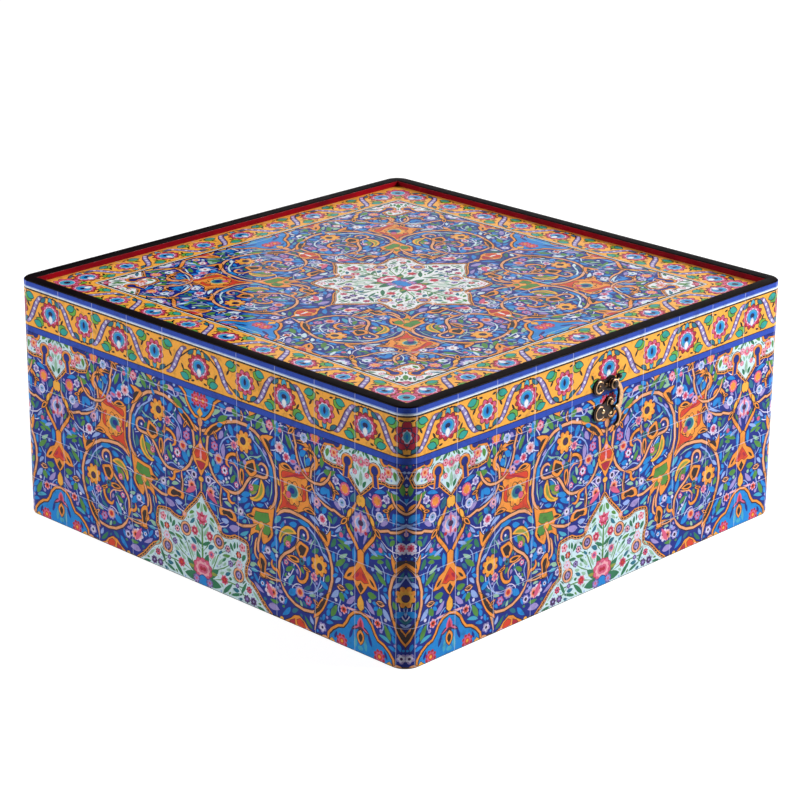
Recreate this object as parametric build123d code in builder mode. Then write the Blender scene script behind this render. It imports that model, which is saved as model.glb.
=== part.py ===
# A square wooden box covered with a lacquered paper print, with a hinged lid.
#
# Millimetres. The origin is in the middle of the underside and +Z is up. The front,
# with the latch, faces -Y, and the hinges are at the back. The box is shown shut,
# with the hook hanging beside its stud.

import os
from math import atan2, cos, degrees, hypot, radians, sin, sqrt

from build123d import *

# Whole box, measured over the glued print
box_width = 300.0
box_depth = 300.0
box_height = 138.7
corner_radius = 9.3
split_height = 109.0
joint_gap = 0.3

# Boards, panels and paper
board_thickness = 7.5
print_thickness = 0.3
rim_recess = 3.5
rim_bevel = 0.7
top_panel_thickness = 3.0
top_groove_depth = 3.0
bottom_panel_thickness = 4.0
bottom_rebate_depth = 4.0
panel_side_gap = 0.2
print_side_gap = 0.1
print_foot_gap = 0.5

# Butterfly hinges: three knuckles, and a lip that stops the open lid
hinge_inset = 60.0
hinge_width = 24.0
knuckle_radius = 1.75
knuckle_lift = 0.3
knuckle_side_gap = 0.15
leaf_thickness = 0.9
leaf_root_gap = 0.35
leaf_waist_width = 13.0
leaf_wing_height = 8.6
leaf_wing_radius = 4.4
leaf_wing_spacing = 15.0
leaf_tip_height = 10.6
leaf_tip_radius = 3.4
hinge_pin_radius = 0.8
hinge_pin_clearance = 0.05
hinge_pin_length = 24.3
lid_opening_angle = 105.0
stop_lip_length = 4.6
stop_lip_gap = 0.1

# Latch plates, with places given from the joint line in the middle of the front
plate_thickness = 1.2
plate_fillet = 1.0
scroll_bead_width = 1.1
scroll_bead_height = 0.5
lid_lobe_centre = (-8.2, 5.6)
lid_lobe_radius = 4.4
lid_bridge_width = 5.6
lid_boss_radius = 4.2
lid_washer_radius = 2.6
lid_scroll_radius = 3.1
lid_scroll_start = 45.0
lid_scroll_turn = 270.0
lid_inner_nail = (-3.0, 5.8)
base_lobe_centre = (-7.4, -8.8)
base_lobe_radius = 4.8
base_foot_centre = (1.2, -10.2)
base_foot_radius = 2.9
base_bridge_width = 5.0
base_scroll_radius = 3.5
base_scroll_start = 60.0
base_scroll_turn = 250.0
base_inner_nail = (-4.8, -8.5)
stud_centre = (0.2, -4.2)
stud_pad_radius = 3.1
stud_radius = 1.3
stud_shank_radius = 0.8
stud_height = 3.2
stud_bevel = 0.6

# Swinging hook, riveted to the lid plate
pivot = (1.0, 6.0)
hook_thickness = 1.8
hook_lift = 1.0
hook_side_gap = 0.1
hook_eye_radius = 3.0
hook_edge_bevel = 0.3
hook_catch_angle = 14.0
hook_catch_gap = 0.25
hook_stud_gap = 0.3
barb_depth = 1.7
knob_radius = 1.6
knob_reach = 5.2
knob_angle = 40.0
knob_neck_width = 1.8
knob_swell = 0.5
knob_bevel = 0.45

# Outline of the hook, with places given from the pivot
hook_shoulder = (1.3, 2.7)
hook_outer_bow = (7.2, -6.4)
hook_waist = (5.2, -14.4)
hook_outer_calf = (6.2, -18.6)
hook_tail = (4.4, -22.2)
hook_tail_curl = (2.6, -24.0)
hook_tail_tip = (0.9, -22.6)
hook_inner_calf = (3.4, -20.4)
hook_knee = (3.2, -16.4)
hook_inner_bow = (3.7, -5.4)
hook_armpit = (2.2, -2.0)

# Rivet that the hook turns on
rivet_radius = 1.1
rivet_clearance = 0.05
rivet_head_radius = 2.2
rivet_head_height = 0.9
rivet_head_bevel = 0.5

# Small nails with square shanks and round heads
hinge_nail_length = 6.0
latch_nail_length = 5.5
nail_width = 1.0
nail_hole_clearance = 0.02
nail_head_radius = 1.2
nail_head_height = 0.6

# Worked out from the sizes above
core_width = box_width - 2 * print_thickness
core_depth = box_depth - 2 * print_thickness
core_radius = corner_radius - print_thickness
inner_width = core_width - 2 * board_thickness
inner_depth = core_depth - 2 * board_thickness
hinge_spacing = box_width - 2 * hinge_inset
base_top = split_height - joint_gap / 2
lid_bottom = split_height + joint_gap / 2
top_print_level = box_height - rim_recess
top_panel_level = top_print_level - print_thickness - top_panel_thickness
hinge_axis_y = box_depth / 2 + knuckle_radius + knuckle_lift
knuckle_pitch = hinge_width / 3
knuckle_length = knuckle_pitch - 2 * knuckle_side_gap
leaf_root = knuckle_radius + leaf_root_gap
hook_back = plate_thickness + hook_lift
hook_front = hook_back + hook_thickness
nail_hole_width = nail_width + 2 * nail_hole_clearance

# Both planes lie on the print at the joint line and look outwards
front_plane = Plane(origin=(0, -box_depth / 2, split_height), x_dir=(1, 0, 0), z_dir=(0, -1, 0))
back_plane = Plane(origin=(0, box_depth / 2, split_height), x_dir=(-1, 0, 0), z_dir=(0, 1, 0))
FRONT, RIGHT, BACK, LEFT = (0, -1), (1, 0), (0, 1), (-1, 0)
UP, DOWN = 1, -1

os.makedirs("parts", exist_ok=True)


def save(builder, node):
    """Label a finished piece and write it under its own name."""
    builder.part.label = node
    export_step(builder.part, f"parts/{node}.step")


def hinge_nail_points(side):
    """Nail places in the leaves of both hinges, above or below the joint line."""
    return [
        (centre + wing * leaf_wing_spacing / 2, side * leaf_wing_height)
        for centre in (-hinge_spacing / 2, hinge_spacing / 2)
        for wing in (-1, 1)
    ]


lid_latch_nails = [lid_lobe_centre, lid_inner_nail]
base_latch_nails = [base_inner_nail, base_foot_centre]


# Wooden boards, mitred at the corners
def mitre_wedge(side):
    """Plan of the room that one wall may fill, cut at 45 degrees at both corners."""
    nx, ny = side
    half_out = (core_width if nx else core_depth) / 2
    half_along = (core_depth if nx else core_width) / 2
    inner_reach = 2 * board_thickness
    points = []
    for reach, ends in ((board_thickness, (-1, 1)), (-inner_reach, (1, -1))):
        for end in ends:
            out, along = half_out + reach, end * (half_along + reach)
            points.append((nx * out - ny * along, ny * out + nx * along))
    return points


def nail_holes(plane, points, depth):
    """Holes for nails, drilled inwards from a face of the box."""
    with BuildSketch(plane) as holes:
        with Locations(*points):
            Rectangle(nail_hole_width, nail_hole_width)
    extrude(holes.sketch, amount=-depth, mode=Mode.SUBTRACT)


def wall_board(side, bottom, top, slot_bottom, slot_top, slot_depth, bevel=0.0):
    """One wall of a rounded ring of boards, with a slot inside for the edge of a panel."""
    with BuildSketch(Plane.XY.offset(bottom)) as ring:
        RectangleRounded(core_width, core_depth, core_radius)
        Rectangle(inner_width, inner_depth, mode=Mode.SUBTRACT)
    extrude(ring.sketch, amount=top - bottom)
    if bevel:
        chamfer(faces().sort_by(Axis.Z)[-1].outer_wire().edges(), length=bevel)
    with BuildSketch(Plane.XY.offset(slot_bottom)) as slot:
        Rectangle(inner_width + 2 * slot_depth, inner_depth + 2 * slot_depth)
    extrude(slot.sketch, amount=slot_top - slot_bottom, mode=Mode.SUBTRACT)
    with BuildSketch(Plane.XY.offset(bottom)) as wedge:
        Polygon(*mitre_wedge(side))
    extrude(wedge.sketch, amount=top - bottom, mode=Mode.INTERSECT)


def base_wall(side):
    """Wall board of the base, rebated below for the bottom panel."""
    wall_board(side, 0, base_top, 0, bottom_panel_thickness, bottom_rebate_depth)


def lid_wall(side):
    """Rail of the lid: it stands above the top panel as a rim."""
    panel_top = top_panel_level + top_panel_thickness
    wall_board(side, lid_bottom, box_height, top_panel_level, panel_top, top_groove_depth, rim_bevel)


def print_wrap(bottom, top):
    """Paper glued round the outside, one closed band."""
    with BuildSketch(Plane.XY.offset(bottom)) as band:
        RectangleRounded(box_width, box_depth, corner_radius)
        RectangleRounded(core_width, core_depth, core_radius, mode=Mode.SUBTRACT)
    extrude(band.sketch, amount=top - bottom)


# Base
with BuildPart() as base_front_board:
    base_wall(FRONT)
    nail_holes(front_plane, base_latch_nails, latch_nail_length - plate_thickness)
save(base_front_board, "base_front_board")

with BuildPart() as base_right_board:
    base_wall(RIGHT)
save(base_right_board, "base_right_board")

with BuildPart() as base_back_board:
    base_wall(BACK)
    nail_holes(back_plane, hinge_nail_points(DOWN), hinge_nail_length - leaf_thickness)
save(base_back_board, "base_back_board")

with BuildPart() as base_left_board:
    base_wall(LEFT)
save(base_left_board, "base_left_board")

with BuildPart() as base_bottom_panel:
    with BuildSketch():
        edge = bottom_rebate_depth - panel_side_gap
        Rectangle(inner_width + 2 * edge, inner_depth + 2 * edge)
    extrude(amount=bottom_panel_thickness)
save(base_bottom_panel, "base_bottom_panel")

with BuildPart() as base_print_wrap:
    print_wrap(print_foot_gap, base_top)
    nail_holes(front_plane, base_latch_nails, print_thickness)
    nail_holes(back_plane, hinge_nail_points(DOWN), print_thickness)
save(base_print_wrap, "base_print_wrap")

# Lid
with BuildPart() as lid_front_rail:
    lid_wall(FRONT)
    nail_holes(front_plane, lid_latch_nails, latch_nail_length - plate_thickness)
save(lid_front_rail, "lid_front_rail")

with BuildPart() as lid_right_rail:
    lid_wall(RIGHT)
save(lid_right_rail, "lid_right_rail")

with BuildPart() as lid_back_rail:
    lid_wall(BACK)
    nail_holes(back_plane, hinge_nail_points(UP), hinge_nail_length - leaf_thickness)
save(lid_back_rail, "lid_back_rail")

with BuildPart() as lid_left_rail:
    lid_wall(LEFT)
save(lid_left_rail, "lid_left_rail")

with BuildPart() as lid_top_panel:
    with BuildSketch(Plane.XY.offset(top_panel_level)):
        edge = top_groove_depth - panel_side_gap
        Rectangle(inner_width + 2 * edge, inner_depth + 2 * edge)
    extrude(amount=top_panel_thickness)
save(lid_top_panel, "lid_top_panel")

with BuildPart() as lid_top_print:
    with BuildSketch(Plane.XY.offset(top_print_level - print_thickness)):
        Rectangle(inner_width - 2 * print_side_gap, inner_depth - 2 * print_side_gap)
    extrude(amount=print_thickness)
save(lid_top_print, "lid_top_print")

with BuildPart() as lid_print_wrap:
    print_wrap(lid_bottom, box_height - rim_bevel)
    nail_holes(front_plane, lid_latch_nails, print_thickness)
    nail_holes(back_plane, hinge_nail_points(UP), print_thickness)
save(lid_print_wrap, "lid_print_wrap")


# Hinges
def hinge_plane(x, turn=0.0):
    """Plane square to the hinge axis: its own x is +Y, turned about the axis by an angle."""
    across = (0, cos(radians(turn)), sin(radians(turn)))
    return Plane(origin=(x, hinge_axis_y, split_height), x_dir=across, z_dir=(1, 0, 0))


def knuckle(middle):
    """One rolled knuckle, before its bore."""
    with BuildSketch(hinge_plane(middle - knuckle_length / 2)) as roll:
        Circle(knuckle_radius)
    extrude(roll.sketch, amount=knuckle_length)


def stop_lip(middle):
    """Lip that lands flat on the base leaf when the lid is fully open."""
    landing = leaf_thickness + stop_lip_gap - knuckle_radius - knuckle_lift
    with BuildSketch(hinge_plane(middle - knuckle_length / 2, lid_opening_angle)) as lip:
        with Locations((landing, -stop_lip_length)):
            Rectangle(leaf_thickness, stop_lip_length - hinge_pin_radius, align=(Align.MIN, Align.MIN))
    extrude(lip.sketch, amount=knuckle_length)


def hinge_leaf(centre, side):
    """Leaf with its knuckles: the middle one on the lid, the outer two on the base."""
    turns = [0] if side == UP else [-1, 1]
    wing = leaf_wing_spacing / 2
    waist = leaf_wing_height - leaf_wing_radius / 2
    with BuildSketch(back_plane) as outline:
        Polygon(
            (-centre - hinge_width / 2, side * leaf_root), (-centre + hinge_width / 2, side * leaf_root),
            (-centre + leaf_waist_width / 2, side * waist), (-centre - leaf_waist_width / 2, side * waist))
        with Locations((-centre - wing, side * leaf_wing_height), (-centre + wing, side * leaf_wing_height)):
            Circle(leaf_wing_radius)
        with Locations((-centre, side * leaf_tip_height)):
            Circle(leaf_tip_radius)
        with Locations(*[(-centre + turn * knuckle_pitch, side * leaf_root / 2) for turn in turns]):
            Rectangle(knuckle_length, leaf_root)
        with Locations((-centre - wing, side * leaf_wing_height), (-centre + wing, side * leaf_wing_height)):
            Rectangle(nail_hole_width, nail_hole_width, mode=Mode.SUBTRACT)
    extrude(outline.sketch, amount=leaf_thickness)
    for turn in turns:
        knuckle(centre + turn * knuckle_pitch)
    if side == UP:
        stop_lip(centre)
    with BuildSketch(hinge_plane(centre - hinge_width / 2)) as bore:
        Circle(hinge_pin_radius + hinge_pin_clearance)
    extrude(bore.sketch, amount=hinge_width, mode=Mode.SUBTRACT)


def hinge_pin(centre):
    """Pin through the three knuckles, held by the outer two."""
    with BuildSketch(hinge_plane(centre - hinge_pin_length / 2)) as rod:
        Circle(hinge_pin_radius)
    extrude(rod.sketch, amount=hinge_pin_length)



for name, centre in (("left", -hinge_spacing / 2), ("right", hinge_spacing / 2)):
    with BuildPart() as base_leaf:
        hinge_leaf(centre, DOWN)
    save(base_leaf, f"hinge_{name}_base_leaf")
    with BuildPart() as lid_leaf:
        hinge_leaf(centre, UP)
    save(lid_leaf, f"hinge_{name}_lid_leaf")
    with BuildPart() as pin:
        hinge_pin(centre)
    save(pin, f"hinge_{name}_pin")


def nails(plane, points, seat, length):
    """Nails: round heads on the metal at the height of seat, square shanks in the wood."""
    with BuildSketch(plane.offset(seat)) as heads:
        with Locations(*points):
            Circle(nail_head_radius)
    extrude(heads.sketch, amount=nail_head_height)
    with BuildSketch(plane.offset(seat)) as shanks:
        with Locations(*points):
            Rectangle(nail_width, nail_width)
    extrude(shanks.sketch, amount=-length)


with BuildPart() as hinge_base_nails:
    nails(back_plane, hinge_nail_points(DOWN), leaf_thickness, hinge_nail_length)
save(hinge_base_nails, "hinge_base_nails")

with BuildPart() as hinge_lid_nails:
    nails(back_plane, hinge_nail_points(UP), leaf_thickness, hinge_nail_length)
save(hinge_lid_nails, "hinge_lid_nails")


# Latch
def bridge(start, end, width):
    """Round-ended bar of a plate from one lobe to the next."""
    middle = ((start[0] + end[0]) / 2, (start[1] + end[1]) / 2)
    across, up = end[0] - start[0], end[1] - start[1]
    with Locations(middle):
        SlotCenterToCenter(hypot(across, up), width, rotation=degrees(atan2(up, across)))


def lobe(centre, radius, mode=Mode.ADD):
    """Round lobe or hole of a plate."""
    with Locations(centre):
        Circle(radius, mode=mode)


def scroll_bead(centre, radius, start, turn):
    """Raised bead that curls over the face of a plate, with rounded ends."""
    with BuildSketch(front_plane.offset(plate_thickness)) as bead:
        with BuildLine():
            curl = CenterArc(centre, radius, start, turn)
            offset(amount=scroll_bead_width / 2, kind=Kind.ARC, side=Side.BOTH)
        make_face()
    extrude(bead.sketch, amount=scroll_bead_height)



with BuildPart() as latch_lid_plate:
    with BuildSketch(front_plane):
        lobe(lid_lobe_centre, lid_lobe_radius)
        lobe(pivot, lid_boss_radius)
        bridge(lid_lobe_centre, pivot, lid_bridge_width)
        fillet(vertices(), radius=plate_fillet)
        with Locations(*lid_latch_nails):
            Rectangle(nail_hole_width, nail_hole_width, mode=Mode.SUBTRACT)
    extrude(amount=plate_thickness)
    with BuildSketch(front_plane.offset(plate_thickness)):
        lobe(pivot, lid_washer_radius)
    extrude(amount=hook_lift - hook_side_gap)
    with BuildSketch(front_plane):
        lobe(pivot, rivet_radius + rivet_clearance)
    extrude(amount=hook_back, mode=Mode.SUBTRACT)
    scroll_bead(lid_lobe_centre, lid_scroll_radius, lid_scroll_start, lid_scroll_turn)
save(latch_lid_plate, "latch_lid_plate")

with BuildPart() as latch_base_plate:
    with BuildSketch(front_plane):
        lobe(base_lobe_centre, base_lobe_radius)
        lobe(base_foot_centre, base_foot_radius)
        lobe(stud_centre, stud_pad_radius)
        bridge(base_lobe_centre, base_foot_centre, base_bridge_width)
        bridge(base_lobe_centre, stud_centre, base_bridge_width)
        bridge(base_foot_centre, stud_centre, base_bridge_width)
        fillet(vertices(), radius=plate_fillet)
        with Locations(*base_latch_nails):
            Rectangle(nail_hole_width, nail_hole_width, mode=Mode.SUBTRACT)
        lobe(stud_centre, stud_shank_radius, Mode.SUBTRACT)
    extrude(amount=plate_thickness)
    scroll_bead(base_lobe_centre, base_scroll_radius, base_scroll_start, base_scroll_turn)
save(latch_base_plate, "latch_base_plate")

with BuildPart() as latch_stud:
    with BuildSketch(front_plane.offset(plate_thickness)):
        lobe(stud_centre, stud_radius)
    extrude(amount=stud_height)
    chamfer(edges().sort_by(Axis.Y)[0], length=stud_bevel)
    with BuildSketch(front_plane):
        lobe(stud_centre, stud_shank_radius)
    extrude(amount=plate_thickness)
save(latch_stud, "latch_stud")

with BuildPart() as latch_rivet:
    with BuildSketch(front_plane.offset(hook_front + hook_side_gap)):
        lobe(pivot, rivet_head_radius)
    extrude(amount=rivet_head_height)
    chamfer(edges().sort_by(Axis.Y)[0], length=rivet_head_bevel)
    with BuildSketch(front_plane):
        lobe(pivot, rivet_radius)
    extrude(amount=hook_front + hook_side_gap)
save(latch_rivet, "latch_rivet")

with BuildPart() as latch_lid_nails:
    nails(front_plane, lid_latch_nails, plate_thickness, latch_nail_length)
save(latch_lid_nails, "latch_lid_nails")

with BuildPart() as latch_base_nails:
    nails(front_plane, base_latch_nails, plate_thickness, latch_nail_length)
save(latch_base_nails, "latch_base_nails")


# Hook: its notch is drawn where the stud comes when the hook is pushed home
def from_pivot(reach, angle):
    """Point at a reach and an angle in degrees from the pivot."""
    return (pivot[0] + reach * cos(radians(angle)), pivot[1] + reach * sin(radians(angle)))


stud_reach = hypot(stud_centre[0] - pivot[0], stud_centre[1] - pivot[1])
stud_angle = degrees(atan2(stud_centre[1] - pivot[1], stud_centre[0] - pivot[0]))
home_angle = stud_angle + hook_catch_angle
notch_radius = stud_radius + hook_catch_gap
notch_centre = from_pivot(stud_reach, home_angle)
catch_reach = stud_reach + notch_radius
notch_floor = from_pivot(catch_reach, home_angle)
barb_x = stud_centre[0] + stud_radius + hook_stud_gap
barb_tip = (barb_x, pivot[1] - sqrt(catch_reach**2 - (barb_x - pivot[0]) ** 2))
barb_heel = (barb_x, barb_tip[1] - barb_depth)


def on_notch(angle):
    """Point on the notch at an angle in degrees."""
    return (notch_centre[0] + notch_radius * cos(radians(angle)),
            notch_centre[1] + notch_radius * sin(radians(angle)))


def near_pivot(offset):
    """Point given by its distances from the pivot."""
    return (pivot[0] + offset[0], pivot[1] + offset[1])


with BuildPart() as latch_hook:
    with BuildSketch(front_plane.offset(hook_back)):
        with BuildLine():
            knee, tail_tip = near_pivot(hook_knee), near_pivot(hook_tail_tip)
            ThreePointArc(near_pivot(hook_shoulder), near_pivot(hook_outer_bow), near_pivot(hook_waist))
            ThreePointArc(near_pivot(hook_waist), near_pivot(hook_outer_calf), near_pivot(hook_tail))
            ThreePointArc(near_pivot(hook_tail), near_pivot(hook_tail_curl), tail_tip)
            ThreePointArc(tail_tip, near_pivot(hook_inner_calf), knee)
            Spline(knee, barb_heel, tangents=[(-0.3, 1.0), (-1.0, 0.5)])
            Line(barb_heel, barb_tip)
            ThreePointArc(barb_tip, from_pivot(catch_reach, home_angle - 2), notch_floor)
            ThreePointArc(notch_floor, on_notch(-15), on_notch(50))
            ThreePointArc(on_notch(50), near_pivot(hook_inner_bow), near_pivot(hook_armpit))
            Line(near_pivot(hook_armpit), pivot)
            Line(pivot, near_pivot(hook_shoulder))
        make_face()
        lobe(pivot, hook_eye_radius)
        bridge(pivot, from_pivot(knob_reach, knob_angle), knob_neck_width)
        lobe(pivot, rivet_radius + rivet_clearance, Mode.SUBTRACT)
    extrude(amount=hook_thickness)
    chamfer(faces().sort_by(Axis.Y)[0].outer_wire().edges(), length=hook_edge_bevel)
    with BuildSketch(front_plane.offset(hook_back - knob_swell)) as knob:
        lobe(from_pivot(knob_reach, knob_angle), knob_radius)
    extrude(knob.sketch, amount=hook_thickness + 2 * knob_swell)
    ends = faces().sort_by(Axis.Y)
    chamfer(ends[0].edges() + ends[-1].edges(), length=knob_bevel)
save(latch_hook, "latch_hook")
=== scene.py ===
# %% [markdown]
# # A box covered with a lacquered tile print
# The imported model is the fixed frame: boards, panels, paper, hinges and latch with their joints.
# This script dresses it. The paper gets its print, drawn shape by shape, and the metal gets its relief.
# The frame is in metres. A drawing is easier to think of in millimetres, so one name turns those into metres.

# %% Frame
import math

import bmesh
import bpy
import numpy as np
from mathutils import Matrix, Vector
from mathutils.geometry import delaunay_2d_cdt


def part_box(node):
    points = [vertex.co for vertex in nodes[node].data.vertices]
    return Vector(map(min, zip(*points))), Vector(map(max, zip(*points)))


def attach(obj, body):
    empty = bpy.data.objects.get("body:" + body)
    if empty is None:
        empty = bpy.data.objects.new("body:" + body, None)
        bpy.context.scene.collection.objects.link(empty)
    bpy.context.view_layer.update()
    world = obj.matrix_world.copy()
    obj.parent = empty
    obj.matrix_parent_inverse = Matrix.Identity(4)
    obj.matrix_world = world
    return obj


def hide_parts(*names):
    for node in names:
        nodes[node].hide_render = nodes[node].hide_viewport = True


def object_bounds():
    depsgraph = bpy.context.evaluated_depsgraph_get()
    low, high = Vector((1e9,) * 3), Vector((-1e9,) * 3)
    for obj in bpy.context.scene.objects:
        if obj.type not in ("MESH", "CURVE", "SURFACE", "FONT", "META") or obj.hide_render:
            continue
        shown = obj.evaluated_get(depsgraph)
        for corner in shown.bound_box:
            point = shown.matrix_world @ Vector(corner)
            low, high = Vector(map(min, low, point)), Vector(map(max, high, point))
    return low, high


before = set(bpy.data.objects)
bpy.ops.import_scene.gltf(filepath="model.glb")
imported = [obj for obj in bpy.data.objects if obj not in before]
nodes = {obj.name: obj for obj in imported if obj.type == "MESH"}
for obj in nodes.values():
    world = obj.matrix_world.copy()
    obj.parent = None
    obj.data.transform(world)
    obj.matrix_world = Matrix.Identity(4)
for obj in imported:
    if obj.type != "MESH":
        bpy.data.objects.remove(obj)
cad_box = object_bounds()
mm = 0.001


def placed(name, data):
    """New object in the scene that holds a mesh, a lamp or a camera."""
    obj = bpy.data.objects.new(name, data)
    bpy.context.scene.collection.objects.link(obj)
    return obj


# %% [markdown]
# ## Drawing with flat shapes
# The real box wears printed paper that shows painted tiles. An image could give that print, but it blurs
# close up. Here it is drawn as flat coloured shapes, laid one over the other like cut paper. A shape is a
# closed loop of points in millimetres with a tint. The first helper rounds off a line of points and keeps
# few of them where it runs straight, because every point costs triangles.

# %% Smooth lines
CURVE_STEPS = 10


def rounded(points, closed=False, turn=17.0, reach=7.0):
    """Smooth line through points, with a new corner where it has turned or run far enough."""
    pts = np.array(points, float)
    n = len(pts)
    spans = n if closed else n - 1
    fine = []
    for i in range(spans):
        p1, p2 = pts[i], pts[(i + 1) % n]
        p0 = pts[i - 1] if closed or i else 2 * p1 - p2
        p3 = pts[(i + 2) % n] if closed or i + 2 < n else 2 * p2 - p1
        for k in range(CURVE_STEPS):
            t = k / CURVE_STEPS
            fine.append(0.5 * (2 * p1 + (p2 - p0) * t + (2 * p0 - 5 * p1 + 4 * p2 - p3) * t * t
                + (3 * p1 - p0 - 3 * p2 + p3) * t ** 3))
    fine.append(pts[0] if closed else pts[-1])
    fine = np.array(fine)
    steps = np.diff(fine, axis=0)
    length = np.hypot(*steps.T)
    heading = np.degrees(np.unwrap(np.arctan2(steps[:, 1], steps[:, 0])))
    kept, turned, run = [fine[0]], 0.0, 0.0
    for i in range(1, len(steps)):
        turned += abs(heading[i] - heading[i - 1])
        run += length[i - 1]
        if run > 0.25 and (turned >= turn or run >= reach):
            kept.append(fine[i])
            turned = run = 0.0
    if not closed:
        kept.append(fine[-1])
    return np.array(kept)


square = np.array([(0, 0), (8, 0), (8, 8), (0, 8)], float)
print("a square rounded off has", len(rounded(square, True)), "points")

# %% [markdown]
# A tile painter's strokes come down to a few outlines: a line, a spot, a flower and a leaf. Each could be a
# curve object, but arrays of points are quicker to move, mirror and fill.

# %% Outlines
def ribbon(points, width, ends=0.25):
    """Outline of a strip of some width along a smooth line, narrower at its ends."""
    mid = rounded(points)
    run = np.concatenate([[0.0], np.cumsum(np.hypot(*np.diff(mid, axis=0).T))])
    along = np.gradient(mid, axis=0)
    side = np.stack([-along[:, 1], along[:, 0]], 1) / np.maximum(np.hypot(*along.T), 1e-6)[:, None]
    near_end = np.minimum(run, run[-1] - run) / max(width * 2.5, 1e-6)
    half = width / 2 * (ends + (1 - ends) * np.clip(near_end, 0, 1) ** 0.6)
    return np.concatenate([mid + side * half[:, None], (mid - side * half[:, None])[::-1]])


def disc(x, y, radius, high=None, turn=0.0, count=None):
    """Outline of a round or oval spot."""
    high = high or radius
    count = count or int(7 + 2.6 * max(radius, high))
    a = np.linspace(0, 2 * np.pi, count, endpoint=False)
    c, s = math.cos(math.radians(turn)), math.sin(math.radians(turn))
    px, py = radius * np.cos(a), high * np.sin(a)
    return np.stack([x + px * c - py * s, y + px * s + py * c], 1)


def petals(x, y, radius, count, dip=0.3, turn=0.0, high=1.0):
    """Outline of a flower with round petals."""
    a = np.linspace(0, 2 * np.pi, count * 4, endpoint=False)
    lobe = np.tile([1 - dip, 0.93, 1.0, 0.93], count)
    a = a + math.radians(turn)
    return np.stack([x + radius * lobe * np.cos(a), y + high * radius * lobe * np.sin(a)], 1)


def blade(x0, y0, x1, y1, width, bend=0.0):
    """Outline of a leaf from its foot to its tip, bent to one side by a share of its length."""
    foot, tip = np.array([x0, y0], float), np.array([x1, y1], float)
    run = tip - foot
    side = np.array([-run[1], run[0]])
    norm = side / max(np.hypot(*side), 1e-6)
    t = np.array([0, 0.18, 0.4, 0.64, 0.84, 1.0])
    swell = np.array([0, 0.72, 1.0, 0.86, 0.5, 0.0]) * width / 2
    mid = foot + np.outer(t, run) + np.outer(np.sin(np.pi * t) * bend, side)
    return np.concatenate([mid + swell[:, None] * norm, (mid - swell[:, None] * norm)[-2:0:-1]])


def grown(loop, by):
    """A loop pushed outwards by a distance."""
    loop = np.asarray(loop, float)
    ahead, behind = np.roll(loop, -1, 0) - loop, loop - np.roll(loop, 1, 0)
    turn = np.sign(np.sum(loop[:, 0] * np.roll(loop[:, 1], -1) - np.roll(loop[:, 0], -1) * loop[:, 1]))
    n = lambda d: np.stack([d[:, 1], -d[:, 0]], 1) / np.maximum(np.hypot(*d.T), 1e-6)[:, None]
    out = n(ahead) + n(behind)
    out /= np.maximum(np.hypot(*out.T), 0.6)[:, None]
    return loop + turn * by * out


print("a flower with 8 petals has", len(petals(0, 0, 5, 8)), "points, a leaf", len(blade(0, 0, 9, 3, 2)))

# %% [markdown]
# A painter lays the ground first and the details last. A sketch keeps its shapes in that order, and its
# methods give a shape a dark edge, as the painter's fine brush does.

# %% Sketch
class Sketch:
    """Coloured shapes, each one lying on those before it."""

    def __init__(self):
        self.shapes = []

    def lay(self, loop, tint, edge=None, edge_width=0.45):
        if edge:
            self.shapes.append((grown(loop, edge_width), edge))
        self.shapes.append((np.asarray(loop, float), tint))

    def dot(self, place, *look):
        """Spot of a place and one or two radii."""
        self.lay(disc(*place), *look)

    def form(self, points, *look):
        """Shape with a smooth outline through a few points."""
        self.lay(rounded(points, True), *look)

    def vine(self, points, width, tint="vine", edge="umber", edge_width=0.65):
        if edge:
            self.shapes.append((ribbon(points, width + 2 * edge_width), edge))
        self.shapes.append((ribbon(points, width), tint))

    def leaf(self, x0, y0, x1, y1, width, tint, bend=0.0, edge=None, core=None):
        self.lay(blade(x0, y0, x1, y1, width, bend), tint, edge)
        core = core or ("umber" if edge and tint in ("orange", "vine") else None)
        if core:
            a, b = np.array([x0, y0]), np.array([x1, y1])
            c, d = a + (b - a) * 0.2, a + (b - a) * 0.82
            self.lay(blade(*c, *d, width * 0.56, bend), core)

    def swelling(self, points):
        """Swollen leaf of a vine: an orange rim round a dark heart."""
        loop, heart = rounded(points, True), 0.62
        self.lay(loop, "orange", "umber")
        self.lay(loop.mean(0) + (loop - loop.mean(0)) * heart, "umber")

    def flower(self, x, y, radius, count, tints, dip=0.25, turn=0.0, high=1.0):
        """Petals first, then ever smaller round rings."""
        for k, tint in enumerate(tints):
            if k == 0 or k == 1 and radius > 2.2:
                self.lay(petals(x, y, radius * (1 - 0.27 * k), count, dip, turn + 20 * k, high), tint)
            else:
                r = radius * (1 - k / len(tints)) * 0.86
                self.lay(disc(x, y, r, r * high), tint)

    def add(self, other, move=None):
        """Lay down another sketch, moved by a function of its points."""
        for loop, tint in other.shapes:
            self.shapes.append((move(loop) if move else loop, tint))


sample = Sketch()
sample.leaf(0, 0, 9, 3, 2.0, "orange", 0, "umber")
print("an orange leaf with its edge and heart is", len(sample.shapes), "shapes")
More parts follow.
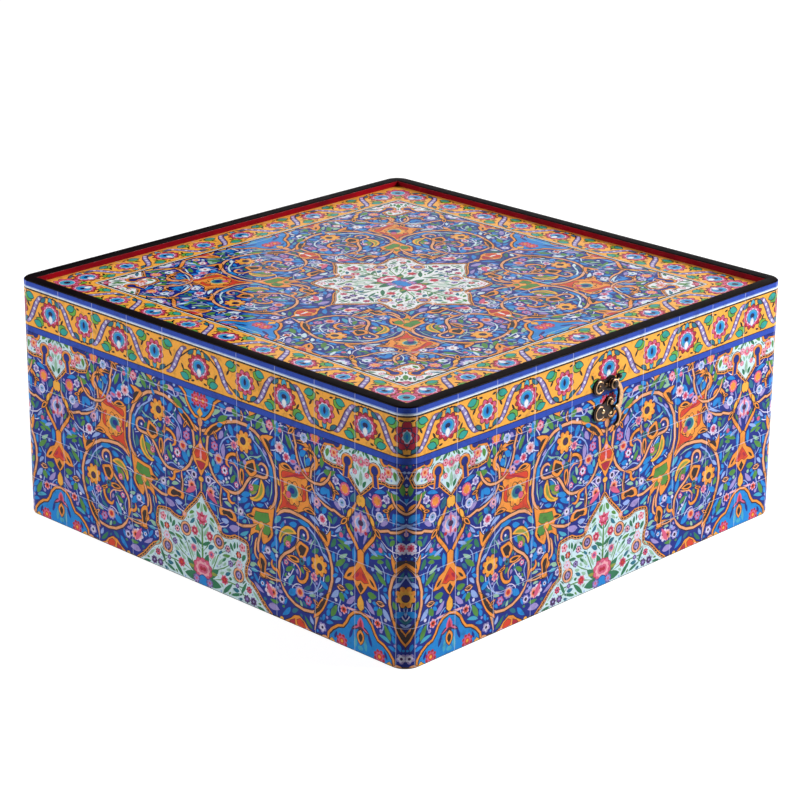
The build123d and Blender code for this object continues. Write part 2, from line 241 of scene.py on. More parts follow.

# %% [markdown]
# ## Tints
# The tints are those of glazed tiles under lacquer, written as they look on a screen.
# Blender reckons with light, where a mid tone is much darker than its screen value, so a helper turns one
# into the other.

# %% Tints
TINTS = {"cobalt": (8, 32, 130), "deep": (6, 12, 72), "azure": (18, 132, 212), "turquoise": (66, 164, 196),
    "teal": (28, 106, 128), "sky": (146, 172, 228), "vine": (236, 164, 118), "orange": (240, 148, 58),
    "amber": (244, 176, 66), "umber": (34, 14, 18), "flame": (214, 64, 38), "crimson": (176, 34, 58),
    "rose": (214, 92, 130), "blush": (234, 168, 180), "lilac": (158, 142, 204), "pearl": (216, 212, 236),
    "violet": (104, 76, 144), "plum": (54, 30, 74), "green": (38, 114, 78), "fern": (78, 138, 58),
    "olive": (140, 150, 60), "mint": (146, 190, 162), "frost": (206, 230, 238), "white": (238, 240, 242),
    "band": (34, 70, 176), "gold": (252, 176, 66), "jade": (40, 160, 148), "mauve": (120, 98, 154),
    "lime": (104, 168, 62),}


def linear(rgb):
    """Screen values from 0 to 255 as light values from 0 to 1."""
    c = np.array(rgb, float) / 255
    return np.where(c <= 0.04045, c / 12.92, ((c + 0.055) / 1.055) ** 2.4)


print(len(TINTS), "tints")

# %% [markdown]
# ## Filling the gaps
# Hardly any plain ground is left on such tiles. Placing each small flower by hand would take days, so the
# free places are measured on a half-millimetre grid, where each spot knows how far the nearest shape is.

# %% Room between the shapes
GRID = 0.5


def inside(loop, x, y):
    """Which of many points lie in a loop."""
    hit = np.zeros(np.shape(x), bool)
    for p, q in zip(loop, np.roll(loop, -1, 0)):
        if p[1] != q[1]:
            hit ^= ((p[1] > y) != (q[1] > y)) & (x < p[0] + (y - p[1]) * (q[0] - p[0]) / (q[1] - p[1]))
    return hit


def room_around(shapes, region, step=GRID):
    """Grid over a region with the distance of each point from the nearest shape or from the region's edge."""
    lo, hi = region.min(0), region.max(0)
    x, y = np.meshgrid(np.arange(lo[0], hi[0], step), np.arange(lo[1], hi[1], step), indexing="ij")
    free = inside(region, x, y)
    for loop, _ in shapes:
        i0, j0 = np.maximum(np.floor((loop.min(0) - lo) / step).astype(int), 0)
        i1, j1 = np.maximum(np.ceil((loop.max(0) - lo) / step).astype(int) + 1, 0)
        part = (slice(i0, i1), slice(j0, j1))
        if x[part].size:
            free[part] &= ~inside(loop, x[part], y[part])
    room = np.where(free, 9.0, 0.0)
    for _ in range(12):
        p = np.pad(room, 1)
        straight = np.minimum(np.minimum(p[2:, 1:-1], p[:-2, 1:-1]), np.minimum(p[1:-1, 2:], p[1:-1, :-2]))
        slanted = np.minimum(np.minimum(p[2:, 2:], p[:-2, :-2]), np.minimum(p[2:, :-2], p[:-2, 2:]))
        room = np.minimum(room, np.minimum(straight + step, slanted + 1.41 * step))
    return x, y, room


print("most room in an empty 8 mm square:", room_around([], square)[2].max(), "mm")

# %% [markdown]
# Thin pale tendrils wind behind everything. They could follow the scrolls, but under so many leaves chance
# does as well, with a fixed seed that gives the same print each time.

# %% Pale tendrils
def tendrils(size, count, seed):
    """Thin pale arcs strewn over a square, to lie under everything else."""
    rng = np.random.default_rng(seed)
    a = Sketch()
    for _ in range(count):
        x, y, start = *(rng.random(2) * size), rng.random() * 360
        radius, sweep = 6 + 12 * rng.random(), rng.choice([-1, 1]) * (70 + 110 * rng.random())
        angles = np.radians(start + np.linspace(0, sweep, 7))
        shrink = np.linspace(1, 0.7, 7)
        arc = np.stack([x + radius * shrink * np.cos(angles), y + radius * shrink * np.sin(angles)], 1)
        a.vine(arc, 0.6, rng.choice(["sky", "pearl", "pearl", "mint"]), None)
    return a


print("tendrils in a small square:", len(tendrils(60, 12, 1).shapes))

# %% [markdown]
# The roomiest spot gets its motif, the room round it is taken away, and so on, as a painter fills a ground:
# a round gap takes a flower, a long one a leaf and a tight one a berry.

# %% Small motifs in the gaps
def fill_gaps(sketch, region, leaves, blooms, seed, least=0.8, spare=0.5):
    """Flowers, leaves and berries for the free places of a region, biggest first, with some ground left round each."""
    rng = np.random.default_rng(seed)
    region = np.asarray(region, float)
    x, y, room = room_around(sketch.shapes, region)
    room = np.maximum(room - spare, 0.0)
    made = Sketch()

    def look(px, py):
        i, j = int(round((px - x[0, 0]) / GRID)), int(round((py - y[0, 0]) / GRID))
        return room[min(max(i, 0), room.shape[0] - 1), min(max(j, 0), room.shape[1] - 1)]

    for _ in range(900):
        limit = rng.choice([1.5, 1.9, 2.6, 3.2])
        score = np.minimum(room, limit) + 0.3 * rng.random(room.shape) * (room > least)
        i, j = np.unravel_index(np.argmax(score), room.shape)
        cx, cy, r = x[i, j], y[i, j], min(room[i, j], limit)
        if room[i, j] < least:
            break
        best = (0.0, 0.0, 0.0, 0.0)
        for angle in np.arange(0, 180, 15.0):
            dx, dy = math.cos(math.radians(angle)), math.sin(math.radians(angle))
            ends = []
            for way in (1, -1):
                k = 0.0
                while k < 4.2 and look(cx + way * (k + GRID) * dx, cy + way * (k + GRID) * dy) > 0.45:
                    k += GRID
                ends.append(k)
            if sum(ends) > best[0]:
                best = (sum(ends), ends[0] - 0.2, ends[1] - 0.2, angle)
        length, front, rear, angle = best
        dx, dy = math.cos(math.radians(angle)), math.sin(math.radians(angle))
        if r > 2.0 and length < 6.0 or r > 2.7:
            bloom = blooms[rng.integers(len(blooms))]
            made.flower(cx, cy, r - 0.25, int(rng.integers(5, 7)), bloom, 0.3, 72 * rng.random())
            gone, half = r, 0.0
        elif length > 2.2 * r and length > 2.4:
            tip = 1 if rng.random() < 0.5 else -1
            a, b = (-rear, front) if tip > 0 else (front, -rear)
            tint = leaves[rng.integers(len(leaves))]
            made.leaf(cx + a * dx, cy + a * dy, cx + b * dx, cy + b * dy, 1.5 * r, tint, 0.06 * rng.choice([-1, 1]))
            gone, half = 0.75 * r, (front + rear) / 2
            cx, cy = cx + (front - rear) / 2 * dx, cy + (front - rear) / 2 * dy
        else:
            tint = leaves[rng.integers(len(leaves))] if rng.random() < 0.6 else "sky"
            made.lay(disc(cx, cy, min(r - 0.15, 1.0), count=7), tint)
            gone, half = r, 0.0
        along = np.clip((x - cx) * dx + (y - cy) * dy, -half, half)
        away = np.hypot(x - cx - along * dx, y - cy - along * dy)
        room = np.minimum(room, np.maximum(away - gone - spare, 0.0))
    return made


few = fill_gaps(Sketch(), square, ("fern", "azure"), (("rose", "plum"),), 1)
print("an empty 8 mm square takes", len(few.shapes), "small shapes")

# %% [markdown]
# ## The great scroll
# One quarter of the field holds two big scrolls, one the other's mirror image in the diagonal.
# Each is an orange vine that curls round an inner vine with a knot, flowers and leaves in between. No rule
# gives such a curve, so its points are listed one by one, in the order in which the paint would go on.

# %% One scroll
def scroll():
    """Great vine with all that it encloses."""
    a = Sketch()
    # thin pale tendrils, then leaves
    for line in (([(14.5, 78), (15.5, 84), (18.5, 88.5), (24, 91.5), (30, 92.5)], 0.9, "sky"),
            ([(39, 95), (43, 92.5), (48, 89), (52, 84), (54, 79)], 1.1, "sky"),
            ([(54.5, 76), (54.3, 70), (52.5, 64)], 0.9, "mint"), ([(16, 62), (22, 64), (26, 63), (30, 60.5)], 0.7,
            "sky"), ([(20, 84), (23, 85.5), (26, 84)], 0.8, "mint"), ([(41, 84.5), (44, 85.3), (47.5, 87.8)], 1.1,
            "mint"), ([(8, 66), (5, 60), (9, 57), (13, 58)], 0.6, "sky")):
        a.vine(*line, None)
    for leaf in ((22, 98, 25.5, 91.5, 3.4, "azure"), (27, 88, 29.6, 93.5, 2.4, "teal"),
            (53.2, 84, 54.6, 74.5, 3.0, "azure"), (10.5, 67.3, 14.5, 74.2, 4.2, "azure"),
            (9.6, 76.3, 5.8, 78.2, 1.9, "mint"), (23, 65.3, 26.8, 71, 2.8, "fern"), (31, 61, 38.5, 63.8, 3.2, "azure"),
            (40.5, 68.6, 44.6, 72.8, 2.4, "azure"), (45, 62, 51, 64.4, 2.4, "azure"),
            (41.5, 93.5, 37.5, 98.5, 2.2, "sky"), (34, 74, 38.5, 71.6, 1.6, "teal"),
            (27.8, 47.2, 33.5, 49.6, 2.2, "azure"), (33, 54, 38, 58.5, 2.2, "azure"),
            (18.5, 89.5, 21.5, 95, 1.8, "teal"), (45.5, 90.5, 49.5, 84.2, 1.8, "teal"),
            (7.5, 95, 3.2, 93.6, 2.2, "azure"), (28.5, 69.5, 25, 73.5, 1.6, "teal")):
        a.leaf(*leaf)
    # yellow half leaf round a bud
    a.form([(46.3, 74), (48.8, 70), (48.2, 65.3), (44.6, 61.6), (40, 60.2), (37.6, 61.4), (41.5, 63), (43.8, 65.8),
                   (45, 69.5)], "amber", "umber")
    a.form([(46.4, 71.6), (47.5, 69.4), (46.7, 65.7), (43.9, 62.6), (40.4, 61.3), (43.5, 63.7), (45.1, 66.5)], "olive")
    a.leaf(37, 63.9, 45, 70, 4.4, "fern", 0.06)
    a.leaf(38.5, 63.6, 43.2, 66.4, 1.6, "olive")
    a.flower(38.6, 67.2, 2.1, 6, ("rose", "blush", "crimson"))
    # flowers
    a.flower(33.6, 91, 6.6, 8, ("umber",), 0.2)
    a.flower(33.6, 91, 6.2, 8, ("orange", "amber"), 0.34)
    a.dot((32.9, 91.3, 1.9), "plum", "umber", 0.35)
    a.flower(14, 76.3, 3.7, 8, ("lilac", "vine", "flame", "crimson"), 0.2)
    a.flower(11, 82.6, 2.7, 6, ("rose", "lilac", "crimson"), 0.3)
    a.flower(26, 87.2, 2.6, 6, ("blush", "rose", "violet"), 0.3, 20)
    for x, y, r in ((19.6, 66.6, 0.9), (17.6, 64.8, 0.8), (21.8, 67.8, 0.8), (29.4, 58.4, 1.1), (47.2, 79.4, 0.8)):
        a.dot((x, y, r), "pearl")
    a.flower(30.4, 51.6, 2.6, 6, ("lilac", "pearl", "plum"), 0.2)
    a.flower(5.6, 62.1, 2.7, 6, ("lilac", "pearl", "plum", "plum"), 0.2)
    a.flower(7.4, 55.6, 3.3, 7, ("blush", "vine", "flame", "umber"), 0.3)
    a.leaf(4, 55.5, 12.6, 50.2, 3.2, "rose")
    a.leaf(3.2, 64.2, 7.6, 66.3, 1.8, "azure")
    a.dot((11.2, 59.2, 1.1), "sky")
    # inner vine with its knot
    a.vine([(22, 76.4), (26, 76.6), (29, 73.6), (29.6, 69), (30.8, 65.6)], 0.9, "vine", None)
    a.vine([(16, 61.2), (20.5, 60.5), (25.5, 60.3), (29.6, 62), (33, 65.5), (35.5, 69.6), (38.4, 73), (42, 74.9),
        (46.5, 75), (50, 76), (51.2, 78.8), (49.8, 81.8), (46.6, 82.7), (44.4, 81)], 1.5)
    a.swelling([(33, 78.4), (36.6, 81.4), (41, 83), (42.4, 79.6), (42.8, 76.2), (39, 73.4), (35.5, 74.8)])
    a.leaf(34.8, 76.2, 40.6, 80.6, 2.3, "umber")
    a.vine([(31, 78.6), (28, 81.8), (24.2, 81.6), (20.8, 79.2), (20.2, 75.6), (22.6, 73.8)], 1.9, "orange")
    a.leaf(21.4, 78.4, 27.6, 81.2, 1.1, "umber", 0.1)
    a.leaf(29, 78.8, 28, 84.6, 1.8, "orange", 0, "umber")
    a.leaf(31.6, 77, 31.8, 66.4, 3.4, "orange", 0, "umber", "umber")
    a.dot((31.8, 77.8, 2.0), "teal", "umber", 0.3)
    a.dot((34, 79.9, 1.3), "lilac")
    a.dot((32, 77.9, 0.8), "umber")
    # ring of the great vine
    a.vine([(9, 89.7), (6, 86.5), (4.9, 81), (5.3, 75), (7.5, 69), (11.3, 64.2), (16, 61.2)], 1.5)
    a.vine([(-4, 87.4), (2, 88.7), (7, 90.4), (13, 94.4), (19, 97.8), (25, 100), (31, 101), (38, 100.2), (44.5, 97.6),
            (49.5, 93.5), (53.5, 88.3), (56.3, 82), (57.3, 75), (57.6, 68.5), (56, 63), (52.5, 59)], 1.7)
    a.leaf(2.6, 86.6, 21, 99, 4.6, "orange", 0.0, "umber")
    for core in ((5.2, 87.4, 9.8, 90.6, 2.0), (10.8, 91.3, 14.6, 93.6, 1.3), (14.9, 93.8, 19.4, 96.8, 1.6)):
        a.leaf(*core, "umber")
    a.leaf(10.5, 91, 13.2, 86.4, 1.9, "orange", 0, "umber")
    a.form([(46, 97), (49.5, 99.2), (55.4, 99.6), (52.4, 96.8), (52.4, 93.2), (55.2, 89), (51, 91.2), (48.6, 94)],
        "orange", "umber")
    a.leaf(48.4, 97.4, 53.2, 90.2, 2.6, "umber", 0.16)
    # stem below, which ends in a swollen leaf
    a.vine([(15.6, 61.6), (15.2, 55), (15.2, 49.4), (15.8, 46.6)], 1.9)
    a.leaf(15.6, 58, 15.6, 50, 1.0, "umber")
    a.vine([(17, 60.6), (21, 59.2), (21.4, 56.2), (23.4, 54.4), (26.2, 55)], 1.7, "orange")
    a.vine([(26, 45.6), (28.5, 43.9), (33, 44), (38, 45.6), (43, 48.2)], 1.5)
    a.swelling([(14.2, 49.2), (14.8, 45.4), (19, 46), (23, 44.6), (27, 45), (26.4, 48.2), (23, 50.4), (19, 49.6)])
    a.leaf(15.6, 47.5, 22.4, 47.4, 1.5, "umber")
    return a


print("scroll:", len(scroll().shapes), "shapes")

# %% [markdown]
# ## Between the scrolls
# A red cartouche and a green palmette sit on the diagonal, with small flowers and leaves round them. They
# could be drawn once and mirrored, but they lean to one side, so they are drawn whole.

# %% Cartouche and palmette on the diagonal
def diagonal():
    """All that lies between the two scrolls."""
    a = Sketch()
    for line in (([(65, 109), (69, 100.5), (73, 94), (76, 89.5)], 0.9, "sky"),
            ([(16, 104), (20, 102), (26, 103.8), (33, 104.8), (42, 105.2)], 0.9, "sky"),
            ([(58, 104), (61, 100), (63, 96.5)], 0.8, "mint"), ([(84, 79.5), (89, 76.8), (94, 74.6)], 0.8, "sky"),
            ([(104, 16), (102.5, 20), (104.8, 26), (105.5, 33), (106, 42)], 0.8, "sky")):
        a.vine(*line, None)
    for leaf in ((6.2, 99.4, 16.5, 103.6, 3.2, "mint"), (14.5, 106.8, 20.5, 106, 2.2, "azure"),
            (20, 105.4, 27.5, 106.8, 2.6, "blush"), (35, 103.4, 42.5, 107.8, 3.0, "fern"),
            (46, 107.4, 50.5, 101.4, 2.6, "mint"), (56.5, 101, 61, 103.4, 2.6, "azure"),
            (62.5, 98.2, 67.4, 92.2, 3.2, "azure"), (75, 95, 79.4, 98.6, 3.4, "azure"),
            (86, 97.6, 88.2, 104, 3.2, "fern"), (92, 91.2, 98.6, 92.2, 2.8, "fern"),
            (90, 78.6, 94, 82.8, 3.6, "azure"), (95, 68.6, 98.4, 64.6, 2.6, "fern"),
            (89.6, 69.6, 94.6, 72.4, 2.4, "teal"), (37, 23.4, 42, 25.8, 2.6, "mint"),
            (51, 36, 56.6, 33.8, 2.6, "azure"), (56.6, 46, 57.8, 38, 2.8, "azure"), (60, 53, 66, 50.6, 2.2, "azure"),
            (47, 106, 42, 102.5, 1.6, "teal"), (99.5, 60.5, 94.6, 58.6, 2.2, "azure"),
            (32, 106, 27, 109, 2.0, "azure"), (66, 104.5, 71, 108, 2.4, "teal"), (82.5, 88.4, 80, 84, 1.4, "fern"),
            (40, 20, 44, 15, 2.2, "azure"), (37.4, 29.4, 38.6, 34, 1.6, "teal")):
        a.leaf(*leaf)
    a.flower(53, 105.4, 2.9, 6, ("rose", "blush", "crimson"), 0.25)
    a.flower(60.2, 95.2, 3.5, 7, ("pearl", "blush", "crimson"), 0.25)
    a.leaf(67.2, 90, 73, 90.6, 3.8, "lilac")
    a.leaf(68.4, 90.1, 72, 90.5, 1.6, "rose")
    a.flower(87.4, 73.4, 2.8, 6, ("blush", "lilac", "rose"), 0.3, 10, 1.3)
    a.flower(91.6, 64.6, 3.3, 7, ("pearl", "rose", "crimson"), 0.3)
    a.flower(100.8, 88.6, 2.4, 6, ("pearl", "lilac", "violet"), 0.25)
    a.flower(36.4, 19.2, 2.1, 6, ("pearl", "lilac", "violet"), 0.25)
    a.leaf(46.2, 33.6, 51.6, 36.8, 3.0, "pearl")
    a.dot((48.6, 35, 1.0), "plum")
    a.flower(52.4, 13.8, 4.3, 7, ("pearl", "blush", "vine"), 0.25, 12, 0.9)
    a.dot((50.8, 14.8, 1.1), "umber")
    a.dot((54, 12.9, 1.2), "flame")
    # curl above the cartouche
    a.vine([(69.6, 101.4), (75, 102.4), (79.4, 101.6), (82.2, 98.4), (82.6, 94.8), (80, 93)], 2.2, "orange")
    a.leaf(77, 102, 78.8, 107, 2.6, "orange", 0, "umber")
    a.leaf(71.6, 101.9, 78, 102, 1.3, "umber", 0.03)
    a.leaf(80.6, 100, 82.4, 95.6, 1.2, "umber", 0.1)
    # cartouche
    a.form([(57.4, 59), (60.4, 66), (61, 73), (60, 80), (60.2, 86.4), (66, 84.4), (72, 86), (79, 89), (89.5, 94.4),
        (83.4, 87.6), (80.4, 82.4), (80.6, 76), (82, 71), (86.4, 65.6), (78, 65.8), (71, 62.2), (64, 62.4)], "orange",
        "umber", 0.6)
    a.form([(62.4, 79.6), (70, 82.4), (77.5, 83), (82.8, 87.8), (76, 86.2), (70, 83.9), (62.6, 83.2)], "flame",
        "umber", 0.3)
    a.form([(64, 80.3), (72, 82.6), (79, 85.2), (71, 83.8)], "crimson")
    a.form([(75.6, 70.4), (79.2, 72), (79, 77.6), (76.2, 79.4), (77.4, 75)], "flame", "umber", 0.3)
    a.form([(59.8, 61.8), (64, 64), (70, 64.2), (73, 66), (66, 67.4), (62.2, 70.6), (62, 66)], "flame", "umber", 0.3)
    a.form([(61.6, 71), (63.4, 73), (63, 78), (61.2, 78)], "crimson")
    a.leaf(60.6, 86.4, 70, 85.2, 3.2, "orange", 0.06, "umber", "umber")
    a.leaf(79, 77.4, 84.8, 81, 2.8, "orange", 0, "umber", "umber")
    a.leaf(77.4, 66.4, 86.6, 66, 2.6, "orange", 0.08, "umber", "umber")
    a.leaf(60.2, 74, 57, 79.6, 2.0, "amber")
    a.flower(70.2, 73, 7.2, 8, ("umber",), 0.2, 8)
    a.flower(70.2, 73, 6.8, 8, ("orange", "amber"), 0.3, 8)
    a.dot((69.7, 74, 3.6, 3.2), "teal", "mint", 0.7)
    a.dot((69.3, 74.2, 2.0, 1.7), "cobalt")
    a.dot((66.6, 71.4, 1.7), "rose", "crimson", 0.3)
    # green palmette with a gold heart
    a.vine([(45.4, 42.2), (42.2, 39), (41, 34), (41.6, 30.4), (44.4, 28)], 1.3)
    a.vine([(40.3, 42.6), (37.4, 40.6), (36.6, 36.8)], 1.2)
    a.form([(42.8, 26), (45.2, 29.6), (48.4, 27), (48, 24), (53, 22.4), (58, 21.8), (57.6, 20), (52, 20.2),
        (47.4, 19.2), (44.4, 20), (45.4, 23)], "orange", "umber")
    a.leaf(45.6, 27, 47.6, 20.2, 2.2, "umber")
    a.leaf(47.6, 21.6, 56.6, 21, 1.3, "umber")
    a.leaf(56.8, 62.6, 50.4, 56.4, 3.4, "orange", 0, "umber")
    a.lay(rounded([(34.8, 51), (38.6, 53.2), (40.8, 56.8), (46, 57.4), (51.4, 58.6), (55.6, 61), (55.2, 56),
        (54.2, 50), (54.8, 45.8), (52, 41.6), (47.6, 38.6), (45.8, 42.4), (42, 43.4), (38, 40.6), (38.4, 44.6),
        (40.2, 47.6), (38.6, 49.8)], True), "orange", "umber", 0.55)
    a.lay([(40.6, 50.6), (42, 55.2), (46, 55.4), (51.4, 56.6), (52.4, 52.6), (50, 50.7), (45, 49.9)], "fern", "umber",
        0.3)
    a.lay([(47.6, 49.4), (51.8, 50), (53.2, 47), (51.2, 44.2), (48, 44.2), (46.7, 47)], "fern", "umber", 0.3)
    a.lay([(41.4, 44.8), (45, 45.1), (45.4, 48.5), (42.9, 47.9)], "fern", "umber", 0.3)
    a.dot((46.2, 48.4, 1.9), "amber", "flame", 0.3)
    a.leaf(36, 51.2, 41, 51.6, 1.6, "umber")
    a.leaf(50.6, 42.6, 53.4, 46.2, 1.0, "umber")
    return a


print("diagonal:", len(diagonal().shapes), "shapes")

# %% [markdown]
# ## The axis of the field
# The edge of the quarter carries a chain of palmettes: a half medallion, a red palmette,
# a lilac one in an hourglass of vines, and the tip of the white corner medallion. It is the same on both
# sides of its axis, so half of it is drawn, as distances from the axis, and a helper lays each motif twice.

# %% Motifs in pairs
EDGE = 118.5


def mirrored(points, axis=EDGE):
    """Whole outline from one half of it, given as distances from an axis."""
    return [(axis - t, v) for t, v in points] + [(axis + t, v) for t, v in points[::-1] if t > 0.01]


class Pairs:
    """Lays each motif left and right of the axis of the chain."""

    def __init__(self, sketch):
        self.sketch = sketch

    def vine(self, points, *look):
        for side in (-1, 1):
            self.sketch.vine([(EDGE + side * t, v) for t, v in points], *look)

    def leaf(self, t0, v0, t1, v1, width, tint, bend=0.0, *look):
        for side in (-1, 1):
            self.sketch.leaf(EDGE + side * t0, v0, EDGE + side * t1, v1, width, tint, bend * side, *look)

    def flower(self, t, v, *look):
        for side in (-1, 1):
            self.sketch.flower(EDGE + side * t, v, *look)

    def spot(self, t, v, radius, tint):
        for side in (-1, 1):
            self.sketch.lay(disc(EDGE + side * t, v, radius), tint)


print("a half outline of 3 points gives", len(mirrored([(0, 1), (2, 0), (0, -1)])), "points")

# %% [markdown]
# The chain is laid as it would be painted: leaves and flowers, the hourglass, the red palmette on its stem
# and the half medallion at the foot.

# %% Chain of palmettes along one edge
def chain():
    """Chain of palmettes, from the tip of the corner medallion down to the half medallion."""
    a = Sketch()
    twice = Pairs(a)
    twice.vine([(32, 76.4), (26, 73.4), (21, 72), (18.6, 72.4), (13.6, 70.6), (9.6, 71.4)], 1.3)
    twice.vine([(32, 76.4), (34.6, 80.6), (35.6, 86), (34.4, 91.4), (30.6, 95.6), (25.6, 97.6)], 1.3)
    twice.leaf(26, 90.6, 17.6, 93.4, 3.2, "fern", 0.08)
    twice.leaf(27.6, 79.6, 23, 82.4, 3.6, "azure")
    twice.leaf(33, 80.4, 20.8, 73.8, 0.9, "sky", 0.05)
    twice.flower(31.4, 73.4, 2.7, 6, ("lilac", "blush", "plum"), 0.28)
    twice.flower(27.2, 65.2, 2.9, 7, ("pearl", "rose", "crimson"), 0.28)
    twice.leaf(24.4, 72, 27.4, 68, 2.8, "azure")
    twice.leaf(7, 56, 18.6, 59.8, 2.6, "azure", 0.07)
    twice.vine([(29, 83.6), (27, 86.6), (23.4, 87), (20.2, 84.8), (18.8, 81.4), (19.4, 77.6)], 2.3, "orange")
    twice.leaf(21.6, 85.8, 19.2, 79, 1.2, "umber", -0.1)
    twice.leaf(19.6, 83, 15.2, 82, 1.8, "orange", 0, "umber")
    twice.flower(11.2, 86, 3.6, 7, ("rose", "blush"), 0.3)
    twice.flower(11.2, 86, 2.5, 6, ("orange",), 0.2)
    twice.flower(13.2, 78, 2.8, 7, ("pearl", "sky", "teal"), 0.2)
    twice.vine([(9, 83), (8, 79), (10, 76)], 0.7, "sky", None)
    for leaf in ((6.4, 54, 17, 57.6, 2.6, "fern", 0.05), (18, 42.6, 10.6, 48.2, 3.2, "fern"),
            (16.6, 58.6, 10.6, 64, 2.6, "teal"), (12, 56.6, 4.6, 59.6, 2.0, "sky")):
        twice.leaf(*leaf)
    twice.spot(13.8, 60.6, 1.4, "rose")
    twice.flower(8.2, 61.6, 1.8, 6, ("lilac", "rose"), 0.2)
    twice.leaf(14.8, 29.2, 11.8, 24.6, 3.8, "fern")
    for side in (-1, 1):
        a.leaf(EDGE + side * 17, 31.8, EDGE + side * 10.6, 31.6, 1.9, "vine", 0.1, "umber")
    twice.leaf(12.2, 29.4, 9, 26.8, 2.2, "azure")
    twice.spot(6.4, 31, 1.1, "mint")
    twice.leaf(21.2, 13.6, 16.6, 21.6, 3.4, "fern")
    twice.leaf(24, 13, 22.2, 17.4, 2.6, "azure")
    twice.spot(17.6, 24, 1.0, "pearl")
    twice.spot(14.4, 17, 1.1, "lilac")
    twice.leaf(20, 36, 16, 38.6, 2.0, "azure")
    twice.spot(8.4, 48.6, 1.0, "sky")
    # hourglass of vines round the lilac palmette
    twice.vine([(2.4, 82.4), (4.2, 78.6), (7, 75), (9.2, 71.4), (9.8, 68), (8.2, 64.4), (5.2, 61), (2.4, 57.4),
        (1.2, 54)], 1.9, "orange")
    twice.leaf(9.4, 71, 14.2, 66.4, 2.8, "orange", 0, "umber", "umber")
    twice.leaf(9.2, 71.6, 6.6, 77, 2.4, "amber", 0, "umber")
    twice.leaf(9.4, 70.2, 8.4, 65.6, 1.6, "umber")
    a.lay(mirrored([(0, 86.8), (2.8, 84.6), (3, 81.4), (1.3, 79.6), (0, 80.4)]), "amber", "umber")
    a.flower(EDGE, 70.6, 6.6, 10, ("lilac", "blush", "crimson"), 0.18)
    a.dot((EDGE, 70.8, 3.4, 3.1), "sky", "pearl", 0.5)
    a.dot((EDGE, 71, 1.7, 1.5), "plum")
    a.leaf(EDGE, 65, EDGE, 77.4, 2.0, "rose")
    a.dot((EDGE, 71, 1.9, 1.6), "plum")
    twice.leaf(4.4, 67, 1.8, 60, 1.7, "lilac")
    twice.spot(3.6, 66.4, 1.1, "crimson")
    # red palmette on its stem
    a.lay(mirrored([(0, 57), (2.2, 55.6), (2, 50), (4, 46.6), (8, 44.6), (10.2, 41.6), (12.2, 38), (8.4, 37.8),
        (5, 38.8), (3.6, 36.4), (1.8, 34), (0, 32.4)]), "orange", "umber", 0.55)
    a.lay(mirrored([(0, 47.4), (3, 43.6), (5.6, 40.2), (2.6, 39.2), (0, 40.4)]), "flame", "umber", 0.3)
    twice.leaf(1, 44, 3.8, 40.8, 1.8, "crimson")
    twice.leaf(9.8, 39.2, 6, 42.8, 1.5, "umber")
    a.lay(mirrored([(0, 39), (2.1, 36.2), (0, 33)]), "umber")
    a.lay(mirrored([(0, 32.2), (2, 29), (2.3, 25.4), (0, 23)]), "amber", "umber")
    a.lay(mirrored([(0, 23.2), (9.4, 22.8), (9.4, 21.7), (0, 21.6)]), "blush")
    # half medallion with a bud
    half = mirrored([(0, 21.2), (4, 20), (7, 17.2), (9, 13.4), (11.6, 10.2), (15.6, 9), (19.2, 6.4), (21.8, 3.4),
        (23, -4)])
    for by, tint in ((2.5, "umber"), (2.1, "orange"), (0.75, "umber")):
        a.lay(grown(half, by), tint)
    a.lay(half, "azure")
    twice.leaf(4, 2, 3, 9, 2.4, "turquoise")
    twice.leaf(8, 6, 5.2, 13, 2.0, "cobalt")
    twice.flower(13.4, 2.6, 4.2, 8, ("crimson", "rose", "flame", "amber"), 0.25)
    twice.leaf(18.6, 2.6, 16.8, 7, 1.8, "cobalt")
    twice.leaf(0.6, 15.4, 6.8, 11.4, 2.6, "plum")
    twice.leaf(1.4, 14.6, 5.6, 12.4, 1.1, "rose")
    a.leaf(EDGE, 11.8, EDGE, 20, 4.8, "rose")
    a.leaf(EDGE, 12.6, EDGE, 18.6, 2.2, "crimson")
    a.dot((EDGE, 13.4, 2.1, 1.3), "plum")
    a.leaf(EDGE, 13, EDGE, 4.6, 5.2, "orange", 0, "umber")
    a.dot((EDGE, 3, 2.0, 1.3), "turquoise")
    return a


print("chain:", len(chain().shapes), "shapes")

# %% [markdown]
# ## White medallions
# The middle of the field is a white cusped medallion with pink flowers on green stems, and a smaller one
# fills each outer corner. Both have the same border: an outline that grows step by step in other tints.

# %% Border and small flowers of a white medallion
def edging(sketch, white, line):
    """White ground in an orange line and a dark band, with gold beads along the part that shows."""
    for by, tint in ((2.5, "umber"), (2.2, "orange"), (1.6, "umber"), (0.7, "vine"), (0.3, "umber"), (0.0, "frost")):
        sketch.lay(grown(white, by), tint)
    band = grown(np.array(white), 1.15)[:len(line)]
    for x, y in rounded(band, turn=999, reach=2.3)[1:-1]:
        sketch.lay(disc(x, y, 0.34, count=6), "amber")


def bloom_between(sketch, white, below=6):
    """Fill the gaps of a white medallion with small green leaves and pink flowers."""
    rest = Sketch()
    rest.shapes = sketch.shapes[below:]
    region = [(max(min(u, 119.0), 0.3), max(min(v, 119.0), 0.3)) for u, v in white]
    blooms = (("rose", "blush", "crimson"), ("violet", "lilac", "plum"), ("rose", "crimson"), ("vine", "flame"))
    small = fill_gaps(rest, region, ("green", "mint", "teal", "green", "fern"), blooms, 3, 0.5, 0.7)
    sketch.shapes = sketch.shapes[:below] + small.shapes + rest.shapes
    return sketch


trial = Sketch()
edging(trial, square, square[:2])
print("border of a small medallion:", len(trial.shapes), "shapes")

# %% [markdown]
# The great medallion lies over the corner where four quarters of the field meet, so a quarter of it is
# enough. Its outline is half drawn and half swapped in the diagonal.

